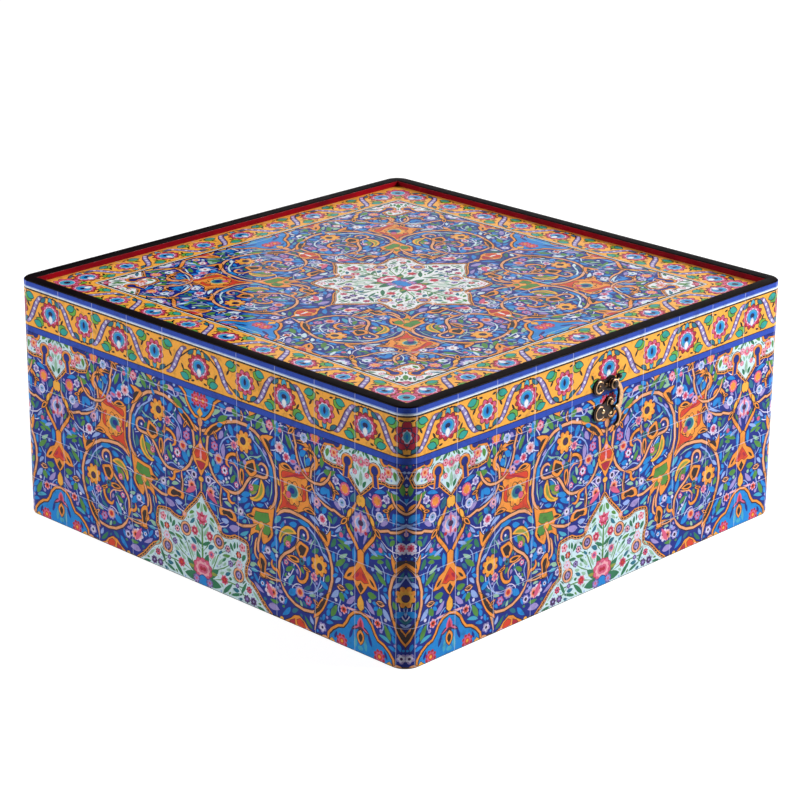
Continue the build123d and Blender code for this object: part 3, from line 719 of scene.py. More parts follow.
# %% Middle medallion
def medallion():
    """Quarter of the white medallion, with a great rose in the middle."""
    a = Sketch()
    half = [(0, 51.8), (3.3, 47), (6.2, 44.2), (9, 41.6), (11.8, 38.5), (13.4, 34.8), (15.4, 33), (18.8, 32.7),
        (22.8, 33.4), (26, 35), (29.6, 34.8), (33.8, 34.2)]
    white = half + [(v, u) for u, v in half[::-1]] + [(51.8, -6), (-6, -6), (-6, 51.8)]
    edging(a, white, half + [(v, u) for u, v in half[::-1]])
    # stems and leaves
    for line in ([(0, 10), (0.4, 22), (0, 38)], [(0.5, 20), (4, 24), (5.6, 29)],
            [(6, 8), (10, 16), (13, 22), (19, 26)], [(8, 6), (17, 8.4), (26, 8.4), (36, 8.6)],
            [(10, 12), (18, 16), (22, 19)], [(20, 18), (25, 20), (28, 26)], [(2, 16), (6, 20)],
            [(27, 9), (33, 4), (40, 3)], [(13, 22), (12, 28)]):
        a.vine(line, 0.75, "fern", None)
    for leaf in ((0, 23.5, 6.8, 27, 2.2, "green"), (1, 28.6, 5.4, 35.6, 2.0, "mint"), (0, 41, 0, 47.6, 2.2, "mint"),
            (7, 14, 10.6, 20.6, 1.8, "mint"), (25, 28.6, 25.6, 33, 2.0, "green"),
            (21.6, 22.3, 27.4, 23.2, 2.2, "green"), (12, 15.6, 17.4, 21.4, 1.9, "mint"),
            (15.6, 0.6, 23.4, 8.4, 2.6, "green"), (22, 1.6, 31.4, 4.8, 1.9, "green"),
            (30, 4.6, 34.4, 12.6, 2.0, "green"), (12.6, 22, 15.8, 25, 1.6, "teal"),
            (17.6, 11.6, 22, 14.2, 2.2, "teal"), (9.6, 22, 6.4, 17, 1.5, "green"), (23, 12.6, 27.6, 10, 1.4, "mint"),
            (39, 9.2, 44, 4.6, 1.6, "mint"), (42, 1.4, 48.4, 0.8, 1.6, "green"), (0.6, 33, 4.4, 37.4, 1.4, "green"),
            (6, 39, 9.8, 36.2, 1.6, "mint"), (16.4, 28.6, 19.4, 31.2, 1.4, "green"),
            (18.6, 21.6, 15.4, 18.6, 1.5, "green"), (34.4, 16, 38, 12.6, 1.2, "mint")):
        a.leaf(*leaf)
    a.flower(0, 38.6, 4.0, 7, ("rose", "crimson", "blush"), 0.3, 13)
    a.leaf(0, 37, 4.4, 42, 1.9, "rose")
    a.flower(5.9, 30.2, 2.9, 7, ("rose", "crimson", "blush"), 0.28)
    a.flower(7, 20, 2.6, 7, ("blush", "rose", "violet"), 0.28)
    a.flower(13.8, 37.2, 1.9, 6, ("vine", "blush"), 0.25)
    for x, y in ((13, 29.2), (28.2, 14.8)):
        a.dot((x, y, 4.3), "umber")
        a.dot((x, y, 3.9), "vine")
        a.dot((x, y, 2.7), "umber")
        a.flower(x, y, 2.4, 7, ("violet", "lilac", "plum"), 0.25)
    for bloom in ((20, 27.2, 2.3, 7, ("violet", "blush", "umber"), 0.25),
            (28.4, 26.4, 2.3, 7, ("umber", "flame", "vine"), 0.22), (22, 19.4, 2.1, 6, ("violet", "lilac", "plum"),
            0.25), (28.6, 20.8, 2.8, 8, ("blush", "pearl", "rose"), 0.25),
            (17, 8.6, 2.9, 7, ("rose", "crimson", "flame"), 0.28), (36.2, 8.8, 2.2, 7, ("crimson", "rose", "plum"),
            0.28), (27, 8.4, 1.6, 6, ("violet", "lilac"), 0.25), (34.4, 3.2, 2.4, 7, ("plum", "violet", "lilac"),
            0.25), (39.4, 3.2, 2.6, 7, ("violet", "plum", "lilac"), 0.25)):
        a.flower(*bloom)
    # great rose in the middle
    for leaf in ((2, 4, 14.6, 3.6, 5.4, "green"), (4, 6, 12.6, 13, 4.6, "green"), (1, 10, 4.6, 19.4, 4.2, "green"),
            (6, 9, 11.6, 9.4, 2.0, "olive")):
        a.leaf(*leaf)
    a.flower(1.2, 9.8, 6.6, 9, ("crimson",), 0.16)
    a.flower(1.2, 9.8, 6.1, 9, ("rose", "blush", "rose", "crimson"), 0.2)
    a.dot((-0.4, 1.8, 4.2), "azure", "cobalt", 0.5)
    a.flower(5.2, 3, 2.9, 7, ("violet", "lilac", "rose"), 0.25)
    return bloom_between(a, white)


print("medallion:", len(medallion().shapes), "shapes")

# %% [markdown]
# The corner medallion has keyholes in its outline, through which the blue ground comes in. A keyhole could
# be cut out of the white, but laying an orange ring and a blue neck over it looks the same.

# %% Corner medallion
def corner_medallion():
    """White medallion round the outer corner of the quarter."""
    a = Sketch()
    E = EDGE
    side = [(E, 87.4), (114, 91.8), (110.6, 95.4), (107, 97.4), (103, 98), (99, 97.4), (93.6, 98.4), (92.2, 101.4),
        (93.8, 104.4), (95.6, 107.4), (93.4, 110.8), (91, 114), (87.4, E)]
    low_half = side[:-1] + [(u, 2 * E - v) for u, v in side[::-1]]
    white = low_half + [(2 * E - u, v) for u, v in low_half[-2:0:-1]]
    edging(a, white, side)
    for x, y, swap in ((109, 101.4, False), (101.4, 109, True)):
        a.dot((x, y, 4.4), "umber")
        a.dot((x, y, 4.0), "orange")
        for wide, tint in ((2.3, "orange"), (1.3, "umber"), (1.0, "cobalt")):
            neck = [(108 - wide, 92.6), (108 + wide, 92.6), (109 + wide, 101.4), (109 - wide, 101.4)]
            a.lay([(v, u) for u, v in neck] if swap else neck, tint)
        a.dot((x, y, 2.6), "umber")
        a.dot((x, y, 2.2), "cobalt")
    for leaf in ((E, 90.6, E, 99, 2.6, "mint"), (97, 106.6, 103.4, 104.2, 1.8, "green"), (E, 99, E, 108, 3.4, "mint"),
            (99, 98.8, 104.6, 100.8, 1.5, "green"), (114.4, 96, 112.4, 101.6, 1.8, "green"),
            (107, 107, 113, 113, 3.0, "fern"), (112, 106, 116.6, 110, 1.8, "green"),
            (106, 112, 110, 116.6, 1.8, "green"), (96, 114.4, 101.6, 112.4, 1.8, "green"),
            (90.6, E, 99, E, 2.6, "mint")):
        a.leaf(*leaf)
    for x, y, r in ((99.6, 103.2, 3.2), (103.2, 99.6, 2.4), (E - 4.2, 97.4, 1.7), (97.4, E - 4.2, 1.7),
            (114.2, 104.4, 2.2), (104.4, 114.2, 2.2)):
        a.flower(x, y, r, 7, ("rose", "blush", "crimson"), 0.25)
    a.flower(99.6, 103.2, 2.0, 6, ("vine", "flame"), 0.2)
    a.flower(E, 103.6, 3.0, 8, ("blush", "rose", "mint"), 0.25)
    a.flower(E, E, 7.4, 9, ("crimson", "rose", "blush", "azure"), 0.18)
    return bloom_between(a, white)


print("corner medallion:", len(corner_medallion().shapes), "shapes")

# %% [markdown]
# A small red palmette stands on the axis between the two medallions. The quarter holds only one half of it,
# and the mirror image across the axis brings back the other.

# %% Red palmette
def red_palmette():
    """Small red palmette on the long axis, above the middle medallion."""
    a = Sketch()
    a.vine([(0, 50), (0, 56), (0, 63)], 1.2)
    a.vine([(0, 52.8), (3.4, 50), (7, 46.6)], 1.1)
    a.dot((0, 61, 1.9, 1.5), "amber", "umber", 0.3)
    a.vine([(0, 82), (0, 89), (0, 99)], 1.3)
    a.lay(mirrored([(0, 97), (1.9, 93.4), (1.4, 91.4), (0, 90)], 0), "vine", "umber", 0.3)
    a.lay(mirrored([(0, 101), (2.3, 98), (0, 95.4)], 0), "amber", "umber", 0.3)
    a.lay(mirrored([(0, 85), (1.4, 80.6), (4.2, 78), (6.4, 74), (5.6, 70.4), (3, 67.6), (1.2, 64.4), (0, 62.6)], 0),
        "orange", "umber", 0.5)
    a.lay(mirrored([(0, 79), (3.4, 77.4), (4.9, 74.6), (3.6, 72.2), (1.6, 72.6), (0, 75)], 0), "flame", "umber", 0.3)
    a.lay(mirrored([(0, 70.9), (3.6, 70.6), (2, 67.6), (0, 66.2)], 0), "crimson", "umber", 0.3)
    a.dot((0, 79.6, 1.4), "blush")
    a.leaf(0, 71.6, 0, 77.6, 1.5, "blush")
    return a


print("red palmette:", len(red_palmette().shapes), "shapes")

# %% [markdown]
# ## Border
# The border is an orange band with big and small rosettes in turn on a wavy vine.
# It is drawn along a straight line: s runs along the band and w across it. One motif at an even pitch would
# be simpler, but the rosettes come at their own places, and the one on the corner of the box is bigger.

# %% Border band
CORNER_FROM = 140


def border(big, small, height=21.0):
    """Sketch of the band from s = 0, with the places of the two kinds of rosette."""
    a = Sketch()
    mid = height / 2
    places = sorted([(s, 1) for s in big] + [(s, -1) for s in small])
    wave = []
    first = places[0][0] - (places[1][0] - places[0][0])
    for s, kind in [(first, -places[0][1])] + places + [(2 * places[-1][0] - places[-2][0], -places[-1][1])]:
        wave += [(s - 7.4, mid + kind * 7.4), (s, mid + kind * 8.9), (s + 7.4, mid + kind * 7.4)]
    a.vine(wave, 0.8, "umber", None)
    spans = [(places[i][0], places[i + 1][0], places[i][1]) for i in range(len(places) - 1)]
    spans = [(first, places[0][0], -places[0][1])] + spans
    for s0, s1, kind in spans:
        c = (s0 + s1) / 2
        slope = [(c - 8.2, mid + kind * 8.3), (c - 5, mid + kind * 7.4), (c - 2.4, mid + kind * 4.4), (c, mid),
            (c + 2.4, mid - kind * 4.4), (c + 5, mid - kind * 7.4), (c + 8.2, mid - kind * 8.3)]
        a.vine(slope, 2.9, "mauve", "plum", 0.8)
        for k, (x, y) in enumerate(rounded(slope, turn=360, reach=1.7)[2:-2]):
            a.lay(disc(x, y, 1.05, count=6), "lilac" if k % 2 else "pearl")
        a.leaf(c - kind * 3.6, mid - 0.8, c - kind * 6.0, mid - 4.6, 1.5, "umber")
        a.leaf(c + kind * 3.6, mid + 0.8, c + kind * 6.0, mid + 4.6, 1.5, "umber")
    for s, kind in places:
        reach, foot, head = 11.0, mid - kind * 7.6, mid + kind * 7.6
        for side in (-1, 1):
            a.leaf(s + side * 6.4, foot, s + side * (reach + 1.4), foot + kind * 3.0, 4.6, "lime", 0, "umber")
            a.leaf(s + side * (reach - 3), foot - kind * 0.6, s + side * (reach + 3.4), foot + kind * 1.0, 3.8, "jade",
                0, "umber")
            a.leaf(s + side * 3.4, foot - kind * 0.6, s + side * 6.4, foot - kind * 1.2, 1.2, "umber")
            a.leaf(s + side * 4.0, head + kind * 0.6, s + side * 8.4, head - kind * 2.2, 2.2, "teal", 0, "umber")
            a.lay(disc(s + side * 2.4, mid + kind * 9.3, 0.7, count=6), "umber")
            a.lay(disc(s + side * 8.2, mid - kind * 9.3, 0.7, count=6), "umber")
        if kind > 0:
            a.leaf(s, mid + 5.4, s, mid + 9.6, 3.4, "turquoise", 0, "umber")
            for radius, tint, dip, turn in ((9.0, "umber", 0.2, 4), (8.4, "crimson", 0.24, 4), (6.9, "rose", 0.2, 20),
                    (5.7, "pearl", 0.16, 4)):
                a.flower(s, mid - 0.2, radius, 11, (tint,), dip, turn, 0.84)
            for up, rx, ry, tint in ((-0.2, 4.8, 4.1, "violet"), (-0.1, 4.3, 3.6, "turquoise"),
                    (0.3, 3.2, 2.4, "azure"), (0.3, 1.9, 1.4, "deep")):
                a.dot((s, mid + up, rx, ry), tint)
            a.leaf(s, mid - 1.0, s, mid - 5.4, 3.0, "white", 0, "sky")
        else:
            a.leaf(s, mid - 4.6, s, mid - 9.2, 2.8, "turquoise", 0, "umber")
            rings = [(7.6, "umber", 0.22, 10), (7.1, "rose", 0.26, 10)]
            if s > CORNER_FROM:
                rings = [(9.3, "umber", 0.22, 10), (8.8, "crimson", 0.26, 10), (6.6, "plum", 0.2, 30)]
            for radius, tint, dip, turn in rings + [(5.7, "crimson", 0.2, 30), (4.7, "pearl", 0.16, 10)]:
                a.flower(s, mid + 0.3, radius, 9, (tint,), dip, turn, 0.94)
            a.dot((s, mid + 0.3, 3.9, 3.6), "turquoise")
            a.dot((s, mid + 0.3, 2.7, 2.5), "azure")
            a.leaf(s, mid - 1.4, s, mid + 2.8, 2.0, "deep")
    return a


print("border with two rosettes:", len(border([0], [35]).shapes), "shapes")

# %% [markdown]
# ## From shapes to a mesh
# A Delaunay triangulation with all outlines as edges turns the pile of shapes into one layer of triangles.
# Each triangle takes the tint of the topmost shape that it lies in, so the print has sharp edges at any zoom.
# Joints between tiles are laid in the same way, and folds are lines where the paper bends round a corner.

# %% Triangles from a sketch
FOLDS = 6


def area(loop):
    """Signed area of a loop, positive where it runs counter-clockwise."""
    return 0.5 * np.sum(loop[:, 0] * np.roll(loop[:, 1], -1) - np.roll(loop[:, 0], -1) * loop[:, 1])


def triangulate(sketch, outline, ground, joints=(), folds=()):
    """Points, triangles, a tint and a joint mark for each triangle of a sketch inside an outline."""
    shapes = [(np.asarray(outline, float), ground)] + sketch.shapes
    lo, hi = np.min(outline, axis=0), np.max(outline, axis=0)
    points, loops, tints = [], [], []
    for loop, tint in shapes:
        if (loop.max(0) < lo).any() or (loop.min(0) > hi).any():
            continue
        if area(loop) < 0:
            loop = loop[::-1]
        loops.append(list(range(len(points), len(points) + len(loop))))
        points += [Vector(p) for p in loop]
        tints.append(tint)
    first_joint = len(loops)
    for x0, y0, x1, y1 in joints:
        loops.append(list(range(len(points), len(points) + 4)))
        points += [Vector(p) for p in ((x0, y0), (x1, y0), (x1, y1), (x0, y1))]
    edges = []
    for x in folds:
        edges.append((len(points), len(points) + 1))
        points += [Vector((x, lo[1] - 1)), Vector((x, hi[1] + 1))]
    verts, _, tris, _, _, origin = delaunay_2d_cdt(points, edges, loops, 1, 2e-4, True)
    kept, tint, mark = [], [], []
    for tri, layers in zip(tris, origin):
        if 0 not in layers:
            continue
        kept.append(tri)
        tint.append(tints[max(k for k in layers if k < first_joint)])
        mark.append(float(max(layers) >= first_joint))
    used = sorted({i for tri in kept for i in tri})
    place = {old: new for new, old in enumerate(used)}
    xy = np.array([verts[i] for i in used])
    return xy, np.array([[place[i] for i in tri] for tri in kept]), tint, np.array(mark)


def mirrored_beyond(sketch, edge, reach):
    """A sketch with its own mirror image beyond an edge, for the strip as far as reach."""
    a = Sketch()
    for loop, tint in sketch.shapes:
        a.shapes.append((loop, tint))
        if loop[:, 0].max() > 2 * edge - reach:
            a.shapes.append((np.stack([2 * edge - loop[:, 0], loop[:, 1]], 1), tint))
    return a


print("the filled 8 mm square has", len(triangulate(few, square, "cobalt")[1]), "triangles")

# %% [markdown]
# The field of the print is one quarter, made of the parts drawn above. The second scroll is the first one
# swapped in the diagonal and shifted a little, as on the hand-painted original of such tiles. Drawing one
# quarter and mirroring it keeps the four walls and the lid alike.

# %% The quarter
field = Sketch()
field.add(diagonal())
one = scroll()
field.add(one)
field.add(one, lambda p: np.stack([0.963 * p[:, 1] + 1.2, 0.98 * p[:, 0] + 6.1], 1))
field.add(chain())
field.add(chain(), lambda p: p[:, ::-1])
field.add(red_palmette())
field.add(red_palmette(), lambda p: p[:, ::-1])
field.add(medallion())
field.add(corner_medallion())
field.shapes = tendrils(EDGE, 50, 11).shapes + field.shapes
edge_of_quarter = [(0.5, 0.5), (EDGE - 0.5, 0.5), (EDGE - 0.5, EDGE - 0.5), (0.5, EDGE - 0.5)]
leaves = ("azure", "azure", "azure", "sky", "fern", "teal", "mint", "turquoise", "lilac", "green")
blooms = (("rose", "pearl", "plum"), ("lilac", "pearl", "plum"), ("azure", "pearl", "plum"),
    ("blush", "flame", "umber"), ("pearl", "orange", "umber"))
between = fill_gaps(field, edge_of_quarter, leaves, blooms, 5, 0.8, 0.5)
field.shapes = between.shapes + field.shapes
print(len(field.shapes), "shapes in the quarter")

# %% [markdown]
# ## The printed paper
# On the real box one sheet of paper is folded round the walls and glued down. Here the side print is one
# strip from the middle of a wall to the middle of a corner. A wall is the strip and its mirror image, and
# the four walls go round the box. All sizes come from the frame, so the print fits it.

# %% Sizes from the frame
base_low, base_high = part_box("base_print_wrap")
lid_low, lid_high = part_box("lid_print_wrap")
top_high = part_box("lid_top_print")[1]
half_side = base_high.x / mm
corner = 9.3  # radius of the upright corners
flat = half_side - corner
strip_end = flat + corner * math.pi / 4
fold_lines = [flat + corner * math.pi / 4 * k / FOLDS for k in range(FOLDS)]
PAPER = 0.3  # thickness of the paper
SHEET_DEPTH = 0.28  # how deep a sheet is made, a little less, so that its back stays off the board
print("half side", round(half_side, 3), "strip", round(strip_end, 3))

# %% [markdown]
# A strip is drawn flat and then bent. A modifier could bend it, but the exact arc of the corner is known, so
# its points are moved by a formula and lie on the frame's own surface.

# %% Bending a strip round the corner
def bent(xy):
    """Points of the front wall's right half for places along the strip and heights."""
    angle = np.clip((xy[:, 0] - flat) / corner, 0, math.pi / 4)
    x, y = np.minimum(xy[:, 0], flat) + corner * np.sin(angle), corner * (1 - np.cos(angle)) - half_side
    return np.stack([x, y, xy[:, 1]], 1) * mm


def outward(x, y):
    """Outward direction of the ring of walls at many places."""
    dx, dy = np.abs(x) - flat * mm, np.abs(y) - flat * mm
    dx, dy = np.where(dy > dx, np.maximum(dx, 0), dx), np.where(dx > dy, np.maximum(dy, 0), dy)
    size = np.hypot(dx, dy)
    return np.stack([np.copysign(dx / size, x), np.copysign(dy / size, y), np.zeros_like(size)], -1)


print("the strip ends at", bent(np.array([[strip_end, 0.0]])).round(5).tolist(), "m")

# %% [markdown]
# The tints go on the faces as an attribute, so one material serves the whole print. A material for each
# tint would work too, but so many slots are slower to draw and harder to change.

# %% Mesh of a piece of print
def sheet_mesh(name, points, tris, tint, mark):
    """Mesh with a tint and a joint mark on each face."""
    mesh = bpy.data.meshes.new(name)
    mesh.from_pydata(points.tolist(), [], tris.tolist())
    colours = np.array([[*linear(TINTS[t]), 1.0] for t in tint], np.float32)
    mesh.attributes.new("tint", "FLOAT_COLOR", "FACE").data.foreach_set("color", colours.ravel())
    mesh.attributes.new("joint", "FLOAT", "FACE").data.foreach_set("value", np.asarray(mark, np.float32))
    return mesh


print(len(TINTS), "tints share one material")

# %% [markdown]
# Walls and nails repeat, and geometry nodes are made for that: a tree takes one piece and gives back all its
# copies. The helpers set up a tree and turn what it makes into a plain object.

# %% Helpers for geometry nodes
def put_values(node, values):
    """Set a node's own settings and the numbers of its inputs."""
    for key, value in values.items():
        if key[0] == "i" and key[1:].isdigit():
            node.inputs[int(key[1:])].default_value = value
        elif key in node.inputs:
            node.inputs[key].default_value = value
        else:
            setattr(node, key, value)
    return node


def new_graph(name, inputs, output):
    """Tree with its sockets, short ways to add and link nodes, and its start and end."""
    g = bpy.data.node_groups.new(name, "GeometryNodeTree")
    for label, kind in inputs:
        g.interface.new_socket(label, in_out="INPUT", socket_type="NodeSocket" + kind)
    g.interface.new_socket(output, in_out="OUTPUT", socket_type="NodeSocketGeometry")
    add = lambda kind, **values: put_values(g.nodes.new(kind), values)
    link = lambda a, out, b, into: g.links.new(a.outputs[out], b.inputs[into])
    return g, add, link, add("NodeGroupInput"), add("NodeGroupOutput")


def grown_from(tree, mesh, name, **values):
    """Plain object that a node tree makes from a mesh."""
    source = placed(name + "_source", mesh)
    modifier = source.modifiers.new("copies", "NODES")
    modifier.node_group = tree
    sockets = {s.name: s.identifier for s in tree.interface.items_tree if s.in_out == "INPUT"}
    for key, value in values.items():
        modifier[sockets[key.replace("_", " ")]] = value
    made = bpy.data.meshes.new_from_object(source.evaluated_get(bpy.context.evaluated_depsgraph_get()))
    made.name = name
    bpy.data.objects.remove(source)
    return placed(name, made)


print("node groups so far:", len(bpy.data.node_groups))

# %% [markdown]
# The first tree joins the strip with its mirror image, puts copies of that pair on a few points, each turned
# a quarter further, and welds what meets.

# %% Node tree for mirrored and turned copies
def round_tree():
    """Tree that makes one wall or all four from the strip."""
    g, add, link, start, end = new_graph("copies round the box", (("Strip", "Geometry"), ("Walls", "Int"),
        ("First turn", "Float"), ("Mirror", "Vector"), ("Paint", "Material")), "Sheet")
    mirror, flip, pair = add("GeometryNodeTransform"), add("GeometryNodeFlipFaces"), add("GeometryNodeJoinGeometry")
    link(start, "Strip", mirror, "Geometry")
    link(start, "Mirror", mirror, "Scale")
    link(mirror, 0, flip, 0)
    link(start, "Strip", pair, 0)
    link(flip, 0, pair, 0)
    line = add("GeometryNodeMeshLine", Offset=(0, 0, 0))
    link(start, "Walls", line, "Count")
    index = add("GeometryNodeInputIndex")
    turn = add("ShaderNodeMath", operation="MULTIPLY_ADD", i1=math.pi / 2)
    link(index, 0, turn, 0)
    link(start, "First turn", turn, 2)
    spin = add("ShaderNodeCombineXYZ")
    link(turn, 0, spin, "Z")
    place = add("GeometryNodeInstanceOnPoints")
    link(line, 0, place, "Points")
    link(pair, 0, place, "Instance")
    link(spin, 0, place, "Rotation")
    solid, weld = add("GeometryNodeRealizeInstances"), add("GeometryNodeMergeByDistance", Distance=2e-6)
    paint = add("GeometryNodeSetMaterial")
    link(place, 0, solid, 0)
    link(solid, 0, weld, "Geometry")
    link(weld, 0, paint, "Geometry")
    link(start, "Paint", paint, "Material")
    link(paint, 0, end, 0)
    return g


copies = round_tree()
print(copies.name, "has", len(copies.nodes), "nodes")

# %% [markdown]
# Paper has a thickness that shows at its rim. A solidify modifier would double all the small triangles, so
# only the rim is drawn down, and a few large faces close the back.

# %% Rim and back of a sheet
def thickened(obj, wrapped):
    """Give a sheet its small thickness and return how many of its faces lie in front."""
    bm = bmesh.new()
    bm.from_mesh(obj.data)
    fronts = len(bm.faces)
    rim = [e for e in bm.edges if e.is_boundary]
    made = bmesh.ops.extrude_edge_only(bm, edges=rim)["geom"]
    new_verts = [g for g in made if isinstance(g, bmesh.types.BMVert)]
    new_set = set(new_verts)
    for v in new_verts:
        step = Vector(outward(np.array(v.co.x), np.array(v.co.y))) if wrapped else Vector((0, 0, 1))
        v.co -= step * (SHEET_DEPTH * mm)
    edges = [g for g in made if isinstance(g, bmesh.types.BMEdge) and g.verts[0] in new_set and g.verts[1] in new_set]
    if wrapped:
        edges = [e for e in edges if abs(e.verts[0].co.z - e.verts[1].co.z) < 1e-6]
        back = bmesh.ops.bridge_loops(bm, edges=edges)["faces"]
    else:
        back = bmesh.ops.edgeloop_fill(bm, edges=edges)["faces"]
    bmesh.ops.triangulate(bm, faces=back)
    bm.faces.ensure_lookup_table()
    bmesh.ops.recalc_face_normals(bm, faces=bm.faces)
    bm.to_mesh(obj.data)
    bm.free()
    return fronts


print("a sheet is", SHEET_DEPTH, "mm deep")

# %% [markdown]
# Light shows every facet of a bent sheet. More folds would hide them, but the normals can be set one by one:
# on the front they are those of the true round corner, which costs nothing.

# %% Normals of a sheet
def finish_sheet(obj, wrapped):
    """Give a sheet its thickness, and normals that follow the true surface."""
    fronts = thickened(obj, wrapped)
    mesh = obj.data
    mesh.polygons.foreach_set("use_smooth", np.ones(len(mesh.polygons), bool))
    corners = np.zeros(len(mesh.loops), np.int32)
    mesh.loops.foreach_get("vertex_index", corners)
    co = np.zeros(len(mesh.vertices) * 3)
    mesh.vertices.foreach_get("co", co)
    co = co.reshape(-1, 3)[corners]
    face = np.zeros(len(mesh.polygons) * 3)
    mesh.polygons.foreach_get("normal", face)
    sizes = np.zeros(len(mesh.polygons), np.int32)
    mesh.polygons.foreach_get("loop_total", sizes)
    owner = np.repeat(np.arange(len(mesh.polygons)), sizes)
    normals = face.reshape(-1, 3)[owner]
    if wrapped:
        true = outward(co[:, 0], co[:, 1])
        follows = (owner < fronts) & (np.sum(true * normals, 1) > 0.9)
        normals = np.where(follows[:, None], true, normals)
    mesh.normals_split_custom_set(normals.tolist())
    return obj


print("normals follow the corner's radius of", corner, "mm")

# %% [markdown]
# The print shows thin pale joints between the tiles. As shapes of their own they would hide the motif, so
# they are only marked, and the material makes those places paler.

# %% Side print
TILE, HALF_JOINT, FAR = 28.6, 0.2, 200
tile_rows = (22.0, 49.5, 77.5, 105.0)


def upright_joints(count):
    """Joints across the strip, one for each tile that ends on it."""
    return [(TILE * k - HALF_JOINT, -1, TILE * k + HALF_JOINT, FAR) for k in range(1, count + 1)]


def block(x1, z0, z1, x0=0):
    """Rectangle from its low and high edge."""
    return [(x0, z0), (x1, z0), (x1, z1), (x0, z1)]


tile_lines = upright_joints(5) + [(-1, v - HALF_JOINT, 300, v + HALF_JOINT) for v in tile_rows]
outline = block(strip_end, base_low.z / mm, base_high.z / mm)
xy, tris, tint, mark = triangulate(mirrored_beyond(field, EDGE, strip_end), outline, "cobalt", tile_lines, fold_lines)
print("side strip:", len(xy), "points,", len(tris), "triangles")
side_strip = sheet_mesh("side_strip", bent(xy), tris, tint, mark)
base_prints = []
for k, wall in enumerate(("front", "right", "back", "left")):
    sheet = grown_from(copies, side_strip, f"{wall}_print", Walls=1, First_turn=k * math.pi / 2, Mirror=(-1, 1, 1))
    base_prints.append(finish_sheet(sheet, True))
print("one wall of print:", len(base_prints[0].data.polygons), "faces")

# %% [markdown]
# Round the lid runs the border in one piece, between plain bands. Four separate walls would show a seam at
# each corner, so here the node tree makes all four at once and welds them.

# %% Lid band
lid_bottom, lid_top = lid_low.z / mm, lid_high.z / mm
band = Sketch()


def bar(z0, z1, tint):
    band.lay(block(FAR, z0, z1, -1), tint)


bar(112.8, 133.6, "gold")
band.add(border([0, 64, 121.5], [35, 93, 150]), lambda p: p + [0, 112.7])
for z0, z1, tint in ((lid_bottom - 1, 112.3, "band"), (112.3, 112.8, "umber"), (133.4, 134.3, "umber"),
        (134.3, 135.0, "white"), (135.0, 135.6, "sky"), (135.6, 150, "band")):
    bar(z0, z1, tint)
xy, tris, tint, mark = triangulate(band, block(strip_end, lid_bottom, lid_top), "band", tile_lines, fold_lines)
print("lid strip:", len(xy), "points,", len(tris), "triangles")
lid_strip = sheet_mesh("lid_strip", bent(xy), tris, tint, mark)
lid_print = finish_sheet(grown_from(copies, lid_strip, "lid_band_print", Walls=4, First_turn=0.0, Mirror=(-1, 1, 1)),
    True)

# %% [markdown]
# The picture on the lid is the same quarter four times, in a narrow frame. Two arms that overlap would give
# an ugly corner, so each shape is cut along the mitre.

# %% Frame of the top print
half_top = top_high.x / mm
ring = Sketch()
ring.lay(block(FAR, 0, 30, -1), "gold")
ring.add(border([0, 58, 116], [29, 87], 21.5), lambda p: p + [0, 1.6])
for w0, w1, t in ((-1.0, 0.4, "umber"), (0.4, 1.1, "white"), (1.1, 1.5, "umber")):
    ring.lay(block(FAR, w0, w1, -1), t)


def cut_at_mitre(loop):
    """The part of a loop on its own side of the corner's mitre, or nothing."""
    over = loop[:, 0] - EDGE - loop[:, 1]
    out = []
    for k in range(len(loop)):
        p, q, a, b = loop[k - 1], loop[k], over[k - 1], over[k]
        if (a > 0) != (b > 0):
            out.append(p + (q - p) * (a / (a - b)))
        if b <= 0:
            out.append(q)
    out = [p for k, p in enumerate(out) if np.abs(p - out[k - 1]).max() > 1e-3]
    return np.array(out) if len(out) > 2 else None


halves = [(cut_at_mitre(loop), tint) for loop, tint in ring.shapes]
ring.shapes = [(loop, tint) for loop, tint in halves if loop is not None and abs(area(loop)) > 0.02]
print("one arm of the frame:", len(ring.shapes), "shapes")

# %% [markdown]
# The top looks brighter than the walls, because it faces the light. A second material with a thicker clear coat
# brings most of that and darkens all tints a little as painted shade, and a few tints are swapped for paler ones,
# which is painted light on the top.

# %% Top print
picture = Sketch()
picture.add(field)
# painted light on the top: a few pale tints are swapped for paler ones
paler_as_painted_light = {"frost": "white", "blush": "white", "sky": "frost"}
picture.shapes = [(loop, paler_as_painted_light.get(tint, tint)) for loop, tint in picture.shapes]
picture.add(ring, lambda p: np.stack([p[:, 0], EDGE + p[:, 1]], 1))
picture.add(ring, lambda p: np.stack([EDGE + p[:, 1], p[:, 0]], 1))
rose = (EDGE + 12, EDGE + 12)
picture.flower(*rose, 8.4, 9, ("umber",), 0.24)
picture.flower(*rose, 7.9, 9, ("rose", "crimson"), 0.26)
picture.lay(disc(*rose, 4.2), "turquoise", "pearl")
picture.lay(disc(*rose, 1.9), "plum")
lines = upright_joints(4)
lines += [(y0, x0, y1, x1) for x0, y0, x1, y1 in lines]
xy, tris, tint, mark = triangulate(picture, block(half_top, 0, half_top), "cobalt", lines)
print("quarter of the picture:", len(xy), "points,", len(tris), "triangles")
quarter = np.stack([xy[:, 0], xy[:, 1], np.full(len(xy), top_high.z / mm)], 1) * mm
top_prints = []
for k, (fx, fy) in enumerate(((1, 1), (-1, 1), (-1, -1), (1, -1))):
    name, turned_tris = f"picture_{k + 1}", tris if fx * fy > 0 else tris[:, ::-1]
    mesh = sheet_mesh(name, quarter * [fx, fy, 1], turned_tris, tint, mark)
    top_prints.append(finish_sheet(placed(name, mesh), False))
print("quarter piece:", len(top_prints[0].data.polygons), "faces")

# %% [markdown]
# ## Rails of the lid
# The rim of the lid is sanded to a soft round, and a groove inside it holds the panel. A bevel would round
# all edges alike, so the section of a rail is drawn point by point instead.

# %% Section of a rail
CORE = half_side - PAPER
INNER = 142.2  # half the opening between the rails
BREAK = 0.25  # narrow slope on the lower edges


